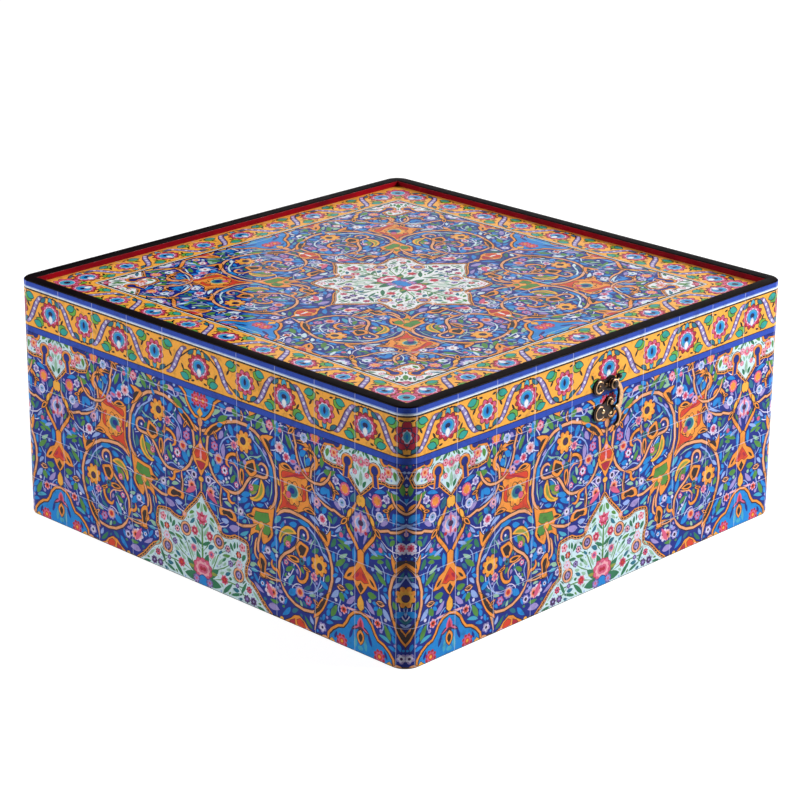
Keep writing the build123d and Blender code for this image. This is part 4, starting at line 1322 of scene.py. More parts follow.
def rail_profile(bottom, top, groove, radius=0.85, steps=5):
    """Section of a rail: depth from the outer face and height, with two rounded top edges and a groove."""
    depth = CORE - INNER

    def arc(cx, cz, a0):
        angles = [a0 - k * math.pi / 2 / steps for k in range(steps + 1)]
        return [(cx + radius * math.cos(a), cz + radius * math.sin(a)) for a in angles]

    outer = arc(radius, top - radius, math.pi)
    inner = arc(depth - radius, top - radius, math.pi / 2)
    g0, g1, gd = groove
    foot = [(depth, (bottom + g0) / 2), (depth, bottom + BREAK), (depth - BREAK, bottom), (BREAK, bottom)]
    notch = [(depth, g1), (depth - gd, g1), (depth - gd, g0), (depth, g0)]
    return [(0, bottom + BREAK), (0, (bottom + top) / 2)] + outer + [(depth / 2, top)] + inner + notch + foot


panel_low, panel_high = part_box("lid_top_panel")
rail_low, rail_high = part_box("lid_front_rail")
profile = rail_profile(rail_low.z / mm, rail_high.z / mm, (panel_low.z / mm, panel_high.z / mm, 3.0))
print("section of a rail:", len(profile), "points")

# %% [markdown]
# A joiner cuts four rails with mitred ends. The section is carried from the middle of one corner to the
# middle of the next, round at the outer face and square at the inner one.

# %% Rails from mitre to mitre
def wall_mesh(name, side, profile, arc_steps=8, straight_steps=12):
    """Carry a section along one wall, from the middle of one corner to the middle of the next."""
    c, s = side
    r = corner - PAPER
    straight = CORE - r
    stations = [(-1, math.pi / 4 * (1 - k / arc_steps)) for k in range(arc_steps)]
    stations += [(x, None) for x in np.linspace(-straight, straight, straight_steps + 1)]
    stations += [(1, math.pi / 4 * (k + 1) / arc_steps) for k in range(arc_steps)]
    points = []
    for where, angle in stations:
        for d, z in profile:
            f = d / (CORE - INNER)
            if angle is None:
                x, y = where, -CORE + d
            else:
                ox, oy = straight + r * math.sin(angle), -CORE + r * (1 - math.cos(angle))
                ix, iy = straight + (INNER - straight) * angle / (math.pi / 4), -INNER
                x, y = where * (ox + (ix - ox) * f), oy + (iy - oy) * f
            points.append((c * x - s * y, s * x + c * y, z))
    n = len(profile)
    faces = [(i * n + k, i * n + (k + 1) % n, (i + 1) * n + (k + 1) % n, (i + 1) * n + k)
             for i in range(len(stations) - 1) for k in range(n)]
    faces += [tuple(range(n)), tuple(range(len(points) - 1, len(points) - n - 1, -1))]
    mesh = bpy.data.meshes.new(name)
    mesh.from_pydata([(x * mm, y * mm, z * mm) for x, y, z in points], [], faces)
    bm = bmesh.new()
    bm.from_mesh(mesh)
    bmesh.ops.recalc_face_normals(bm, faces=bm.faces)
    for f in bm.faces:
        f.smooth = len(f.verts) == 4
    for e in bm.edges:
        e.smooth = e.calc_face_angle(0.0) < 0.5
    bm.to_mesh(mesh)
    bm.free()
    return placed(name, mesh)


rails = {}
for name, side in (("front", (1, 0)), ("right", (0, 1)), ("back", (-1, 0)), ("left", (0, -1))):
    rails[name] = wall_mesh(f"{name}_rail", side, profile)
print("rail faces:", len(rails["front"].data.polygons))

# %% [markdown]
# ## Metal of the latch
# The latch is a small bronzed casting. The frame has it with flat faces, so each part is drawn again over
# its own section: a cut through the middle of the part gives the outline, and a height that depends on
# the distance from that outline gives round ridges and sunk hollows. Sculpting by hand would look as good,
# but it wouldn't follow the frame when its sizes change.

# %% Outline of a fitting
def welded(node):
    """Welded copy of a frame node's loose triangles."""
    bm = bmesh.new()
    bm.from_mesh(nodes[node].data)
    bmesh.ops.remove_doubles(bm, verts=bm.verts, dist=2e-6)
    return bm


def section(node, out):
    """Loops of (x, z) in millimetres where a plane at a distance out from the front wall cuts a fitting."""
    bm = welded(node)
    cut = bmesh.ops.bisect_plane(bm, geom=bm.verts[:] + bm.edges[:] + bm.faces[:], dist=1e-7,
        plane_co=(0, -(half_side + out) * mm, 0), plane_no=(0, 1, 0))["geom_cut"]
    left = [e for e in cut if isinstance(e, bmesh.types.BMEdge)]
    loops = []
    while left:
        first, here = left.pop(0).verts
        loop = [first]
        while here is not first:
            loop.append(here)
            edge = next(e for e in here.link_edges if e in left)
            left.remove(edge)
            here = edge.other_vert(here)
        loops.append(np.array([(v.co.x / mm, v.co.z / mm) for v in loop]))
    bm.free()
    loops = [loop if area(loop) > 0 else loop[::-1] for loop in loops]
    return sorted(loops, key=lambda loop: -area(loop))


def resampled(loop, step):
    """Points at even steps round a closed loop."""
    ends = np.vstack([loop, loop[:1]])
    along = np.concatenate([[0], np.cumsum(np.linalg.norm(np.diff(ends, axis=0), axis=1))])
    places = np.linspace(0, along[-1], max(8, int(along[-1] / step)), endpoint=False)
    return np.stack([np.interp(places, along, ends[:, k]) for k in (0, 1)], 1)


print("outlines in the lid plate:", len(section("latch_lid_plate", 0.6)))

# %% [markdown]
# Rows of points follow the rim and a loose grid fills the middle, so the rounded edge gets many triangles
# and the flat part few. How high each point lies is kept as "lift", because the plating is rubbed bright on
# the ridges and stays dark in the hollows.

# %% Relief over an outline
RIM_ROWS = (0.06, 0.16, 0.3, 0.5, 0.75, 1.0, 1.25)
CLOSE = 1.38  # the loose grid keeps this far from the rim


def fallen(d, radius):
    """How far a rounded edge has fallen at a distance d from the outline."""
    return radius * (1 - np.sqrt(1 - (1 - np.clip(d / radius, 0, 1)) ** 2))


def relief(name, node, middle, high, front, rear):
    """Fitting with a front and a rear height over its section. From the height called high on it is fully rubbed."""
    loops = [resampled(loop, 0.16) for loop in section(node, middle)]
    rim = loops[0]
    tangent = np.roll(rim, -1, 0) - np.roll(rim, 1, 0)
    inward = np.stack([-tangent[:, 1], tangent[:, 0]], 1) / np.linalg.norm(tangent, axis=1)[:, None]
    away = lambda p: np.sqrt(((p[:, None] - rim[None]) ** 2).sum(-1)).min(1)
    extra = []
    for d in RIM_ROWS:
        row = rim + inward * d
        extra.append(row[away(row) > d - 0.02])
    lo, hi = rim.min(0), rim.max(0)
    gx, gz = np.meshgrid(np.arange(lo[0], hi[0], 0.26), np.arange(lo[1], hi[1], 0.23))
    gx[1::2] += 0.13
    grid = np.stack([gx.ravel(), gz.ravel()], 1)
    extra.append(grid[away(grid) > CLOSE])
    points, rings = [], []
    for loop in loops:
        rings.append(list(range(len(points), len(points) + len(loop))))
        points += [Vector(p) for p in loop]
    points += [Vector(p) for rows in extra for p in rows]
    verts, _, tris, _, _, origin = delaunay_2d_cdt(points, [], rings, 1, 1e-4, True)
    tris = np.array([t for t, layers in zip(tris, origin) if list(layers) == [0]])
    used, tris = np.unique(tris, return_inverse=True)
    tris = tris.reshape(-1, 3)
    p = np.array([verts[i] for i in used])
    d = away(p)
    out_front, out_rear = front(d, p), rear(d)
    place = lambda out: np.stack([p[:, 0], -half_side - out, p[:, 1]], 1) * mm
    n = len(p)
    edges = {(a, b) for t in tris.tolist() for a, b in zip(t, t[1:] + t[:1])}
    faces = tris.tolist() + (tris[:, ::-1] + n).tolist()
    faces += [(b, a, a + n, b + n) for a, b in edges if (b, a) not in edges]
    mesh = bpy.data.meshes.new(name)
    mesh.from_pydata(np.vstack([place(out_front), place(out_rear)]).tolist(), [], faces)
    lift = np.concatenate([out_front, np.full(n, out_front.min())])
    lift = np.clip((lift - lift.min()) / (high - lift.min()), 0, 1)
    mesh.attributes.new("lift", "FLOAT", "POINT").data.foreach_set("value", lift.astype(np.float32))
    return shaded(mesh, 0.7)


def shaded(mesh, sharp):
    """Object of a mesh that is smooth but for edges sharper than an angle."""
    bm = bmesh.new()
    bm.from_mesh(mesh)
    for f in bm.faces:
        f.smooth = True
    for e in bm.edges:
        e.smooth = e.calc_face_angle(0.0) < sharp
    bm.to_mesh(mesh)
    bm.free()
    return placed(mesh.name, mesh)


print("a 1 mm round has fallen", round(float(fallen(0.2, 1.0)), 3), "mm at 0.2 mm from the rim")

# %% [markdown]
# Each plate is cast with raised scrolls. A scroll is a bead along an arc, so its height follows from how far
# a point lies from that arc. Heights are in millimetres out from the wall and places are told from the seam
# between base and lid.

# %% Scrolls of the two plates
seam = 109.0
plate_middle, plate_face, bead_top = 0.6, 1.2, 1.7
pivot, catch = (1.0, 6.0), (0.2, -4.2)


def bead(w, p, centre, radius, start, turn, half_width=0.62):
    """Raise a round bead along an arc of a plate."""
    q = p - np.array([centre[0], centre[1] + seam])
    angle = (np.degrees(np.arctan2(q[:, 1], q[:, 0])) - start) % 360
    near = np.abs(np.hypot(q[:, 0], q[:, 1]) - radius)
    for end in (0, turn):
        a = math.radians(start + end)
        tip = np.hypot(q[:, 0] - radius * math.cos(a), q[:, 1] - radius * math.sin(a))
        near = np.where(angle > turn, np.minimum(tip, np.where(end == 0, 99.0, near)), near)
    rise = np.sqrt(np.clip(half_width ** 2 - near ** 2, 0, None))
    return np.maximum(w, bead_top - half_width + rise)


def cast_face(d):
    """Face of a plate: a rounded rim round a sunk middle."""
    sunk = np.clip((d - 0.85) / 0.55, 0, 1)
    return plate_face - fallen(d, 0.5) - 0.5 * sunk * sunk * (3 - 2 * sunk)


def lid_face(d, p):
    """Face of the lid's plate, with a scroll and the boss of the pivot."""
    w = bead(cast_face(d), p, (-8.2, 5.6), 3.1, 45.0, 270.0)
    r = np.hypot(p[:, 0] - pivot[0], p[:, 1] - seam - pivot[1])
    return np.where(r < 2.6, np.maximum(w, 2.1 - fallen(2.6 - r, 0.4)), w)


def base_face(d, p):
    """Face of the base's plate, with three scrolls."""
    w = bead(cast_face(d), p, (-7.4, -8.8), 3.5, 60.0, 250.0)
    w = bead(w, p, (1.2, -10.2), 2.2, 200.0, 200.0, 0.45)
    return bead(w, p, catch, 2.3, -30.0, 240.0, 0.45)


flat_back = lambda d: np.zeros(len(d))
lid_plate = relief("latch_lid_casting", "latch_lid_plate", plate_middle, bead_top, lid_face, flat_back)
base_plate = relief("latch_base_casting", "latch_base_plate", plate_middle, bead_top, base_face, flat_back)
print("plates:", len(lid_plate.data.polygons), len(base_plate.data.polygons), "faces")

# %% [markdown]
# The hook has a round section, thick on its back and thin towards the inner edge, so it takes the same
# relief with two other heights.

# %% Hook
hook_rear, hook_middle, hook_face = 2.2, 3.1, 4.0
hook = relief("latch_swing_hook", "latch_hook", hook_middle, hook_face,
    lambda d, p: hook_face - fallen(d, 0.95), lambda d: hook_rear + fallen(d, 0.45))
print("hook:", len(hook.data.polygons), "faces")

# %% [markdown]
# The thumb knob, the rivet and the stud are turned on a lathe. A screw modifier does the same, but it can't
# carry the lift along, so an outline is spun here round an axis that points out of the wall.

# %% Turned parts
def turned(name, centre, outline, steps=28):
    """Spin an outline of (radius, distance out, lift), from rear to front, round an axis out of the front wall."""
    x0, z0 = centre[0], centre[1] + seam
    rows = [(r, w, lift) for r, w, lift in outline if r > 0]
    points, lifts, faces = [], [], []
    for r, w, lift in rows:
        for k in range(steps):
            a = 2 * math.pi * k / steps
            points.append(((x0 + r * math.cos(a)) * mm, (-half_side - w) * mm, (z0 + r * math.sin(a)) * mm))
            lifts.append(lift)
    for i in range(len(rows) - 1):
        for k in range(steps):
            a, b = i * steps + k, i * steps + (k + 1) % steps
            faces.append((a, b, b + steps, a + steps))
    for (_, w, lift), row, flip in ((outline[0], 0, True), (outline[-1], (len(rows) - 1) * steps, False)):
        points.append((x0 * mm, (-half_side - w) * mm, z0 * mm))
        lifts.append(lift)
        for k in range(steps):
            a, b = row + k, row + (k + 1) % steps
            faces.append((b, a, len(points) - 1) if flip else (a, b, len(points) - 1))
    mesh = bpy.data.meshes.new(name)
    mesh.from_pydata(points, [], faces)
    mesh.attributes.new("lift", "FLOAT", "POINT").data.foreach_set("value", np.array(lifts, np.float32))
    return shaded(mesh, 0.8)


def dome(radius, start, height, lift0, lift1, steps=7):
    """Part of an outline: a dome from its rim to its top."""
    quarter_turn = [(math.pi / 2 * k / steps, k) for k in range(steps)]
    return [(radius * math.cos(a), start + height * math.sin(a), lift0 + (lift1 - lift0) * k / steps)
        for a, k in quarter_turn] + [(0, start + height, lift1)]


reach, tilt = 5.2, math.radians(40)
knob_centre = (pivot[0] + reach * math.cos(tilt), pivot[1] + reach * math.sin(tilt))
lower_half = [(r, 2 * hook_middle - w, lift) for r, w, lift in dome(1.65, hook_middle, 1.4, 0.4, 0.2)][::-1]
knob = turned("latch_thumb_knob", knob_centre, lower_half + dome(1.65, hook_middle, 1.4, 0.4, 0.55)[1:])
shaft = [(0, -0.5, 0), (1.1, -0.5, 0), (1.1, 4.1, 0), (2.15, 4.1, 0.2), (2.2, 4.22, 0.4)]
rivet = turned("latch_pivot_rivet", pivot, shaft + dome(2.12, 4.25, 0.75, 0.5, 0.55))
shaft = [(0, -0.5, 0), (0.8, -0.5, 0), (0.8, 0, 0), (1.3, 0.02, 0), (1.3, 2.7, 0.4)]
stud = turned("latch_catch_stud", catch, shaft + dome(1.27, 2.75, 0.45, 0.8, 0.9))
print("knob, rivet and stud:", [len(o.data.polygons) for o in (knob, rivet, stud)], "faces")

# %% [markdown]
# The nails all have the same domed head and square shank. A geometry nodes tree draws one nail and puts
# a copy on each point of a small mesh that holds only the places of the heads.

# %% Node tree for nails
def nail_tree():
    """Tree that draws one nail and copies it to each point."""
    g, add, link, start, end = new_graph("nails on points", (("Places", "Geometry"), ("Head radius", "Float"),
        ("Flatness", "Vector"), ("Shank", "Vector"), ("Sunk", "Vector"), ("Facing", "Vector"), ("Paint", "Material")),
        "Nails")
    ball = add("GeometryNodeMeshUVSphere", Segments=24, Rings=14)
    link(start, "Head radius", ball, "Radius")
    smooth = add("GeometryNodeSetShadeSmooth")
    link(ball, "Mesh", smooth, "Geometry")
    place, below = add("GeometryNodeInputPosition"), add("ShaderNodeSeparateXYZ")
    lower = add("FunctionNodeCompare", data_type="FLOAT", operation="LESS_THAN", i1=-1e-6)
    link(place, 0, below, 0)
    link(below, "Z", lower, 0)
    drop = add("GeometryNodeDeleteGeometry", domain="POINT")
    link(smooth, 0, drop, "Geometry")
    link(lower, 0, drop, "Selection")
    flatten = add("GeometryNodeTransform")
    link(drop, 0, flatten, "Geometry")
    link(start, "Flatness", flatten, "Scale")
    seat = add("GeometryNodeMeshCircle", fill_type="NGON", Vertices=24)
    link(start, "Head radius", seat, "Radius")
    under = add("GeometryNodeFlipFaces")
    link(seat, 0, under, 0)
    shank = add("GeometryNodeMeshCube")
    link(start, "Shank", shank, "Size")
    sink = add("GeometryNodeTransform")
    link(shank, "Mesh", sink, "Geometry")
    link(start, "Sunk", sink, "Translation")
    nail, weld = add("GeometryNodeJoinGeometry"), add("GeometryNodeMergeByDistance", Distance=2e-6)
    for part in (flatten, under, sink):
        link(part, 0, nail, 0)
    link(nail, 0, weld, "Geometry")
    copy = add("GeometryNodeInstanceOnPoints")
    link(start, "Places", copy, "Points")
    link(weld, 0, copy, "Instance")
    link(start, "Facing", copy, "Rotation")
    solid, paint = add("GeometryNodeRealizeInstances"), add("GeometryNodeSetMaterial")
    link(copy, 0, solid, 0)
    link(solid, 0, paint, "Geometry")
    link(start, "Paint", paint, "Material")
    link(paint, 0, end, 0)
    return g


tree = nail_tree()
print(tree.name, "has", len(tree.nodes), "nodes")

# %% [markdown]
# Where the nails go is read from the frame: each loose piece of a row is one nail, and its head sits where
# it meets the metal. So the nails stay in their holes when the frame changes.

# %% Rows of nails
HEAD_RADIUS, HEAD_HEIGHT = 1.2, 0.6


def nail_places(node, back):
    """Middle of each nail's head, where it meets the metal under it."""
    bm = welded(node)
    todo, places = set(bm.verts), []
    while todo:
        island, edge = set(), {todo.pop()}
        while edge:
            v = edge.pop()
            island.add(v)
            edge |= {e.other_vert(v) for e in v.link_edges} - island
        todo -= island
        co = np.array([v.co for v in island])
        side = 1 if back else -1
        tip = (co[:, 1] * side).max()
        head = co[co[:, 1] * side > tip - 0.65 * mm]
        x, z = ((head[:, k].min() + head[:, k].max()) / 2 for k in (0, 2))
        places.append((x, side * (tip - HEAD_HEIGHT * mm), z))
    bm.free()
    return sorted(places)


nail_rows = {}
for node, name, back, length in (("latch_lid_nails", "latch_lid_tacks", False, 5.5),
        ("latch_base_nails", "latch_base_tacks", False, 5.5),
        ("hinge_lid_nails", "hinge_lid_tacks", True, 6.0), ("hinge_base_nails", "hinge_base_tacks", True, 6.0)):
    dots = bpy.data.meshes.new(name + "_places")
    dots.from_pydata(nail_places(node, back), [], [])
    facing = -math.pi / 2 if back else math.pi / 2
    nail_rows[node] = grown_from(tree, dots, name, Head_radius=HEAD_RADIUS * mm, Flatness=(1, 1, 0.5),
        Shank=(mm, mm, length * mm), Sunk=(0, 0, -length / 2 * mm), Facing=(facing, 0, 0))
    print(name, len(dots.vertices), "nails,", len(nail_rows[node].data.polygons), "faces")

# %% [markdown]
# The hinges keep the frame's shape. Their edges are softened by a narrow bevel, and the bevel's faces
# are marked, so that the plating can be rubbed bright there. A shader could find edges too, but only when
# it renders, while a mark on the mesh goes wherever the model goes.

# %% Hinges with softened edges
def softened(node, name, width):
    """Frame node again, with narrow bevels on its sharp edges that are marked as worn."""
    bm = welded(node)
    bmesh.ops.dissolve_limit(bm, angle_limit=0.01, verts=bm.verts, edges=bm.edges)
    lift = bm.faces.layers.float.new("lift")
    for f in bm.faces:
        f[lift] = 0.3
    sharp = [e for e in bm.edges if e.is_manifold and e.calc_face_angle(0.0) > 0.7]
    rounded_off = bmesh.ops.bevel(bm, geom=sharp, offset=width * mm, segments=2, profile=0.5, affect="EDGES",
        clamp_overlap=True)
    for f in rounded_off["faces"]:
        f[lift] = 1.0
    bmesh.ops.triangulate(bm, faces=bm.faces)
    mesh = bpy.data.meshes.new(name)
    bm.to_mesh(mesh)
    bm.free()
    return shaded(mesh, 0.7)


hinge_nodes = [name for name in nodes if name.endswith(("leaf", "pin"))]
hinges = {name: softened(name, name.replace("hinge_", "bronzed_"), 0.14) for name in hinge_nodes}
print("hinge parts:", {name: len(o.data.polygons) for name, o in hinges.items()})

# %% [markdown]
# ## Materials
# All colour comes from nodes, so nothing blurs close up and no image file is needed. A small helper makes a
# node, sets its numbers and links its inputs in one line.

# %% Node helper
class Tree:
    """Short way to build a material's nodes."""

    def __init__(self, name):
        self.material = bpy.data.materials.new(name)
        self.material.use_nodes = True
        self.tree = self.material.node_tree
        self.tree.nodes.clear()
        self.out = self.tree.nodes.new("ShaderNodeOutputMaterial")
        self.surface = self.node("BsdfPrincipled")
        self.tree.links.new(self.surface.outputs[0], self.out.inputs["Surface"])
        self.place = self.node("TexCoord").outputs["Object"]

    def node(self, kind, settings=None, **inputs):
        n = self.tree.nodes.new("ShaderNode" + kind)
        for key, value in (settings or {}).items():
            setattr(n, key, value)
        for key, value in inputs.items():
            self.put(n, key, value)
        return n

    def put(self, node, key, value):
        socket = node.inputs[int(key[1:])] if key[0] == "i" and key[1:].isdigit() else node.inputs[key.replace("_",
            " ")]
        if isinstance(value, bpy.types.NodeSocket):
            self.tree.links.new(value, socket)
        else:
            socket.default_value = value

    def noise(self, scale, detail=3.0, rough=0.5, at=None):
        return self.node("TexNoise", Vector=at or self.place, Scale=scale, Detail=detail,
            Roughness=rough).outputs["Fac"]

    def ramp(self, value, *stops):
        n = self.node("ValToRGB", Fac=value)
        e = n.color_ramp.elements
        while len(e) < len(stops):
            e.new(0.5)
        for k, (at, grey) in enumerate(stops):
            e[k].position = at
            e[k].color = (grey, grey, grey, 1)
        return n.outputs["Color"]

    def mix(self, a, b, fac, blend="MIX"):
        n = self.node("Mix", {"data_type": "RGBA", "blend_type": blend})
        self.put(n, "i0", fac)
        self.put(n, "i6", a)
        self.put(n, "i7", b)
        return n.outputs[2]

    def math(self, how, a, b=0.5):
        n = self.node("Math", {"operation": how})
        self.put(n, "i0", a)
        self.put(n, "i1", b)
        return n.outputs[0]

    def bump(self, height, distance, strength=1.0, normal=None):
        n = self.node("Bump", Height=height, Distance=distance, Strength=strength)
        if normal:
            self.put(n, "Normal", normal)
        return n.outputs[0]

    def finish(self, **inputs):
        for key, value in inputs.items():
            self.put(self.surface, key, value)
        return self.material


def rgba(*rgb):
    """Screen tint as a shader's colour."""
    return (*[float(c) for c in linear(rgb)], 1.0)


print("mid grey on a screen is", round(rgba(128, 128, 128)[0], 3), "in light")

# %% [markdown]
# Printed paper under lacquer: the ink lies a little uneven, fine specks show through, and the clear coat is
# brushed, so it has faint waves. The coat has its own normal for that. Bumping the ink as well would make
# the paper look like stone.

# %% Lacquered print
def print_under_lacquer(name, gloss, sheen, shade):
    """Printed colours, a little uneven, under a clear coat with faint waves."""
    t = Tree(name)
    # shade mixes every tint towards a dark colour: painted shade, which makes the lid's picture darker than the same
    # print on the walls
    tint = t.mix(t.node("Attribute", {"attribute_name": "tint"}).outputs["Color"], rgba(20, 12, 20), shade)
    joint = t.node("Attribute", {"attribute_name": "joint"}).outputs["Fac"]
    speck = t.noise(1500.0, 3.0, 0.7)
    deep = t.mix(tint, rgba(6, 8, 40), 0.5)
    ink = t.mix(tint, deep, t.ramp(t.noise(230.0, 4.0, 0.62), (0.52, 0.0), (0.74, 0.9)))
    pale = t.mix(tint, rgba(236, 236, 240), 0.03)
    ink = t.mix(ink, pale, t.ramp(t.noise(340.0, 4.0, 0.65), (0.58, 0.0), (0.76, 1.0)))
    ink = t.mix(ink, t.ramp(speck, (0.30, 0.60), (0.62, 1.0)), 0.3, "MULTIPLY")
    ink = t.mix(ink, rgba(196, 204, 232), t.math("MULTIPLY", joint, 0.55))
    skin = t.bump(t.noise(26.0, 2.0, 0.4), 0.0006, 0.25, t.bump(t.noise(420.0, 2.0, 0.5), 0.00004, 0.25))
    return t.finish(Base_Color=ink, Roughness=t.ramp(speck, (0.3, 0.5), (0.7, 0.62)), Specular_IOR_Level=sheen,
        Coat_Weight=gloss, Coat_Roughness=0.05, Coat_IOR=1.45, Coat_Normal=skin)


wall_print = print_under_lacquer("lacquered_print", 0.07, 0.19, 0.0)
# the picture's shade of 0.06 is painted shade on the top; the walls get none
picture_print = print_under_lacquer("lacquered_picture", 0.8, 0.02, 0.06)
print("print:", len(wall_print.node_tree.nodes), "nodes")

# %% [markdown]
# The boards are painted red inside and black elsewhere, in brush strokes with dust in the lacquer. A board
# is one piece, so it can't take a material on each side. Its material asks instead where a point lies.

# %% Walls: red inside, black elsewhere
def two_tone(name, is_red):
    """Paint that is red where a test of the place is true and black elsewhere."""
    t = Tree(name)
    axes = t.node("SeparateXYZ", Vector=t.place).outputs
    red_here = is_red(t, axes)
    cloud = t.ramp(t.noise(45.0, 5.0, 0.6), (0.35, 0.0), (0.75, 1.0))
    dust = t.ramp(t.noise(900.0, 3.0, 0.75), (0.68, 0.0), (0.80, 1.0))
    stroke = t.node("Mapping", Vector=t.place, Scale=(1.0, 1.0, 12.0)).outputs[0]
    strokes = t.noise(170.0, 4.0, 0.55, stroke)
    red = t.mix(t.mix(rgba(138, 8, 20), rgba(92, 6, 18), cloud), rgba(70, 10, 16), t.math("MULTIPLY", dust, 0.6))
    black = t.mix(t.mix(rgba(10, 6, 8), rgba(20, 12, 14), cloud), rgba(84, 78, 84), t.math("MULTIPLY", dust, 0.3))
    fine = t.bump(strokes, 0.00006, 0.35, t.bump(t.noise(600.0), 0.00003, 0.3))
    return t.finish(Base_Color=t.mix(black, red, red_here), Roughness=t.ramp(strokes, (0.3, 0.3), (0.75, 0.48)),
        Normal=fine, Specular_IOR_Level=0.015, Coat_Weight=0.02, Coat_Roughness=0.1)


def within_walls(t, a):
    """True where a point lies on the inner face of a wall."""
    farther = t.math("MAXIMUM", t.math("ABSOLUTE", a["X"]), t.math("ABSOLUTE", a["Y"]))
    return t.math("LESS_THAN", farther, (INNER + 0.12) * mm)


wall_paint = two_tone("wall_paint", within_walls)
panel_paint = two_tone("panel_paint", lambda t, a: t.math("GREATER_THAN", a["Z"], 0.0035))
lid_panel_paint = two_tone("lid_panel_paint", lambda t, a: t.math("GREATER_THAN", a["Z"], 0.0))
print("paint:", len(wall_paint.node_tree.nodes), "nodes")

# %% [markdown]
# The fittings are plated, darkened and then rubbed. The lift kept on the mesh says where the cloth reached:
# with some noise on it, the edge of the bright part looks worn and not drawn.

# %% Metals
def bronze(name, dark, worn, start, end, rough):
    """Antiqued plating: dark in the hollows and rubbed bright where the metal stands high."""
    t = Tree(name)
    lift = t.node("Attribute", {"attribute_name": "lift"}).outputs["Fac"]
    patch = t.noise(1100.0, 4.0, 0.65)
    rub = t.math("ADD", lift, t.math("MULTIPLY", t.math("SUBTRACT", patch, 0.5), 0.7))
    bright = t.ramp(rub, (start, 0.0), (end, 1.0))
    tarnish = t.mix(rgba(*dark), rgba(16, 10, 10), t.ramp(t.noise(500.0, 3.0), (0.4, 0.0), (0.65, 1.0)))
    return t.finish(Base_Color=t.mix(tarnish, rgba(*worn), bright), Metallic=t.ramp(bright, (0.0, 0.6), (1.0, 1.0)),
        Roughness=t.ramp(patch, (0.3, rough - 0.06), (0.7, rough + 0.16)),
        Normal=t.bump(t.noise(1800.0, 3.0), 0.00003, 0.5))


antique = bronze("antique_bronze", (48, 28, 20), (210, 166, 124), 0.62, 1.1, 0.3)
hinge_bronze = bronze("hinge_bronze", (84, 56, 36), (232, 188, 134), 0.35, 0.9, 0.34)


def nail_metal(name, low, high):
    """Bronzed nail heads, rubbed uneven."""
    t = Tree(name)
    patch = t.noise(1400.0, 4.0, 0.6)
    bright = t.ramp(patch, (0.32, 0.0), (0.56, 1.0))
    return t.finish(Base_Color=t.mix(rgba(*low), rgba(*high), bright), Metallic=1.0,
        Roughness=t.ramp(patch, (0.3, 0.22), (0.7, 0.36)), Normal=t.bump(patch, 0.00003, 0.4))


bright_nail = nail_metal("bronzed_nail", (120, 84, 50), (246, 214, 164))
dark_nail = nail_metal("tarnished_nail", (26, 17, 14), (112, 84, 60))
print("materials:", [m.name for m in bpy.data.materials])

# %% [markdown]
# Each new piece takes a material, rides on a body and stands for a node of the frame, which is hidden.
# The nodes that stay as they are only change their material.

# %% Give the pieces their looks
def wear(obj, look, body, node):
    """A piece takes a material and a body, and the frame node that it stands for is hidden."""
    obj.data.materials.clear()
    obj.data.materials.append(look)
    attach(obj, body)
    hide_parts(node)


for obj in base_prints:
    wear(obj, wall_print, "base", "base_print_wrap")
for obj in top_prints:
    wear(obj, picture_print, "lid", "lid_top_print")
wear(lid_print, wall_print, "lid", "lid_print_wrap")


def dress(node, look):
    """A node of the frame that stays takes a material."""
    mesh = nodes[node].data
    mesh.materials.clear()
    mesh.materials.append(look)


for name, rail in rails.items():
    wear(rail, wall_paint, "lid", f"lid_{name}_rail")
for name in nodes:
    if name.startswith("base_") and "board" in name:
        dress(name, wall_paint)
dress("lid_top_panel", lid_panel_paint)
dress("base_bottom_panel", panel_paint)
for piece, body, node in ((lid_plate, "lid", "latch_lid_plate"), (base_plate, "base", "latch_base_plate"),
        (hook, "hook", "latch_hook"), (knob, "hook", "latch_hook"), (rivet, "lid", "latch_rivet"),
        (stud, "base", "latch_stud")):
    wear(piece, antique, body, node)
for node, row in nail_rows.items():
    look = dark_nail if node == "latch_lid_nails" else bright_nail
    wear(row, look, "lid" if "lid" in node else "base", node)
for node, piece in hinges.items():
    wear(piece, hinge_bronze, "lid" if "lid" in node else "base", node)

# %% [markdown]
# ## Stage, light and camera
# A product photo has a white sweep behind the object. Here a flat floor is enough: it glows where the camera
# or a mirror sees it, so it melts into the white background, and the box is still lit by the lamps.

# %% Floor
floor_look = Tree("floor")
grain = floor_look.noise(3.0, 4.0)
ray = floor_look.node("LightPath").outputs
bounced = floor_look.math("MAXIMUM", ray["Is Glossy Ray"], ray["Is Transmission Ray"])
seen = floor_look.math("MAXIMUM", ray["Is Camera Ray"], bounced)
away = floor_look.node("VectorMath", {"operation": "LENGTH"}, i0=floor_look.place).outputs["Value"]
glow = floor_look.node("MapRange", Value=away, From_Min=0.9, From_Max=2.4, To_Min=0.84, To_Max=1.0).outputs["Result"]
floor_material = floor_look.finish(Base_Color=floor_look.ramp(grain, (0.3, 0.28), (0.7, 0.30)), Roughness=0.6,
    Emission_Color=(1, 1, 1, 1), Emission_Strength=floor_look.math("MULTIPLY", seen, glow))
bm = bmesh.new()
bmesh.ops.create_grid(bm, x_segments=8, y_segments=8, size=6.0)
mesh = bpy.data.meshes.new("floor")
bm.to_mesh(mesh)
bm.free()
floor = placed("floor", mesh)
floor.location.z = cad_box[0].z - 0.0001  # just below the box, so that two faces never coincide
mesh.materials.append(floor_material)
print("floor at", round(floor.location.z, 5), "m")

# %% [markdown]
# The world is what lacquer and metal mirror: bright overhead, dark near the horizon and darker on the left.
# The camera itself sees plain white. A photographed room would be richer, but it needs an image file.

# %% World
world = bpy.data.worlds.new("studio")
world.use_nodes = True
sky = world.node_tree
background = sky.nodes["Background"]


def sky_node(kind, **values):
    """Node of the world with its values."""
    return put_values(sky.nodes.new("ShaderNode" + kind), values)


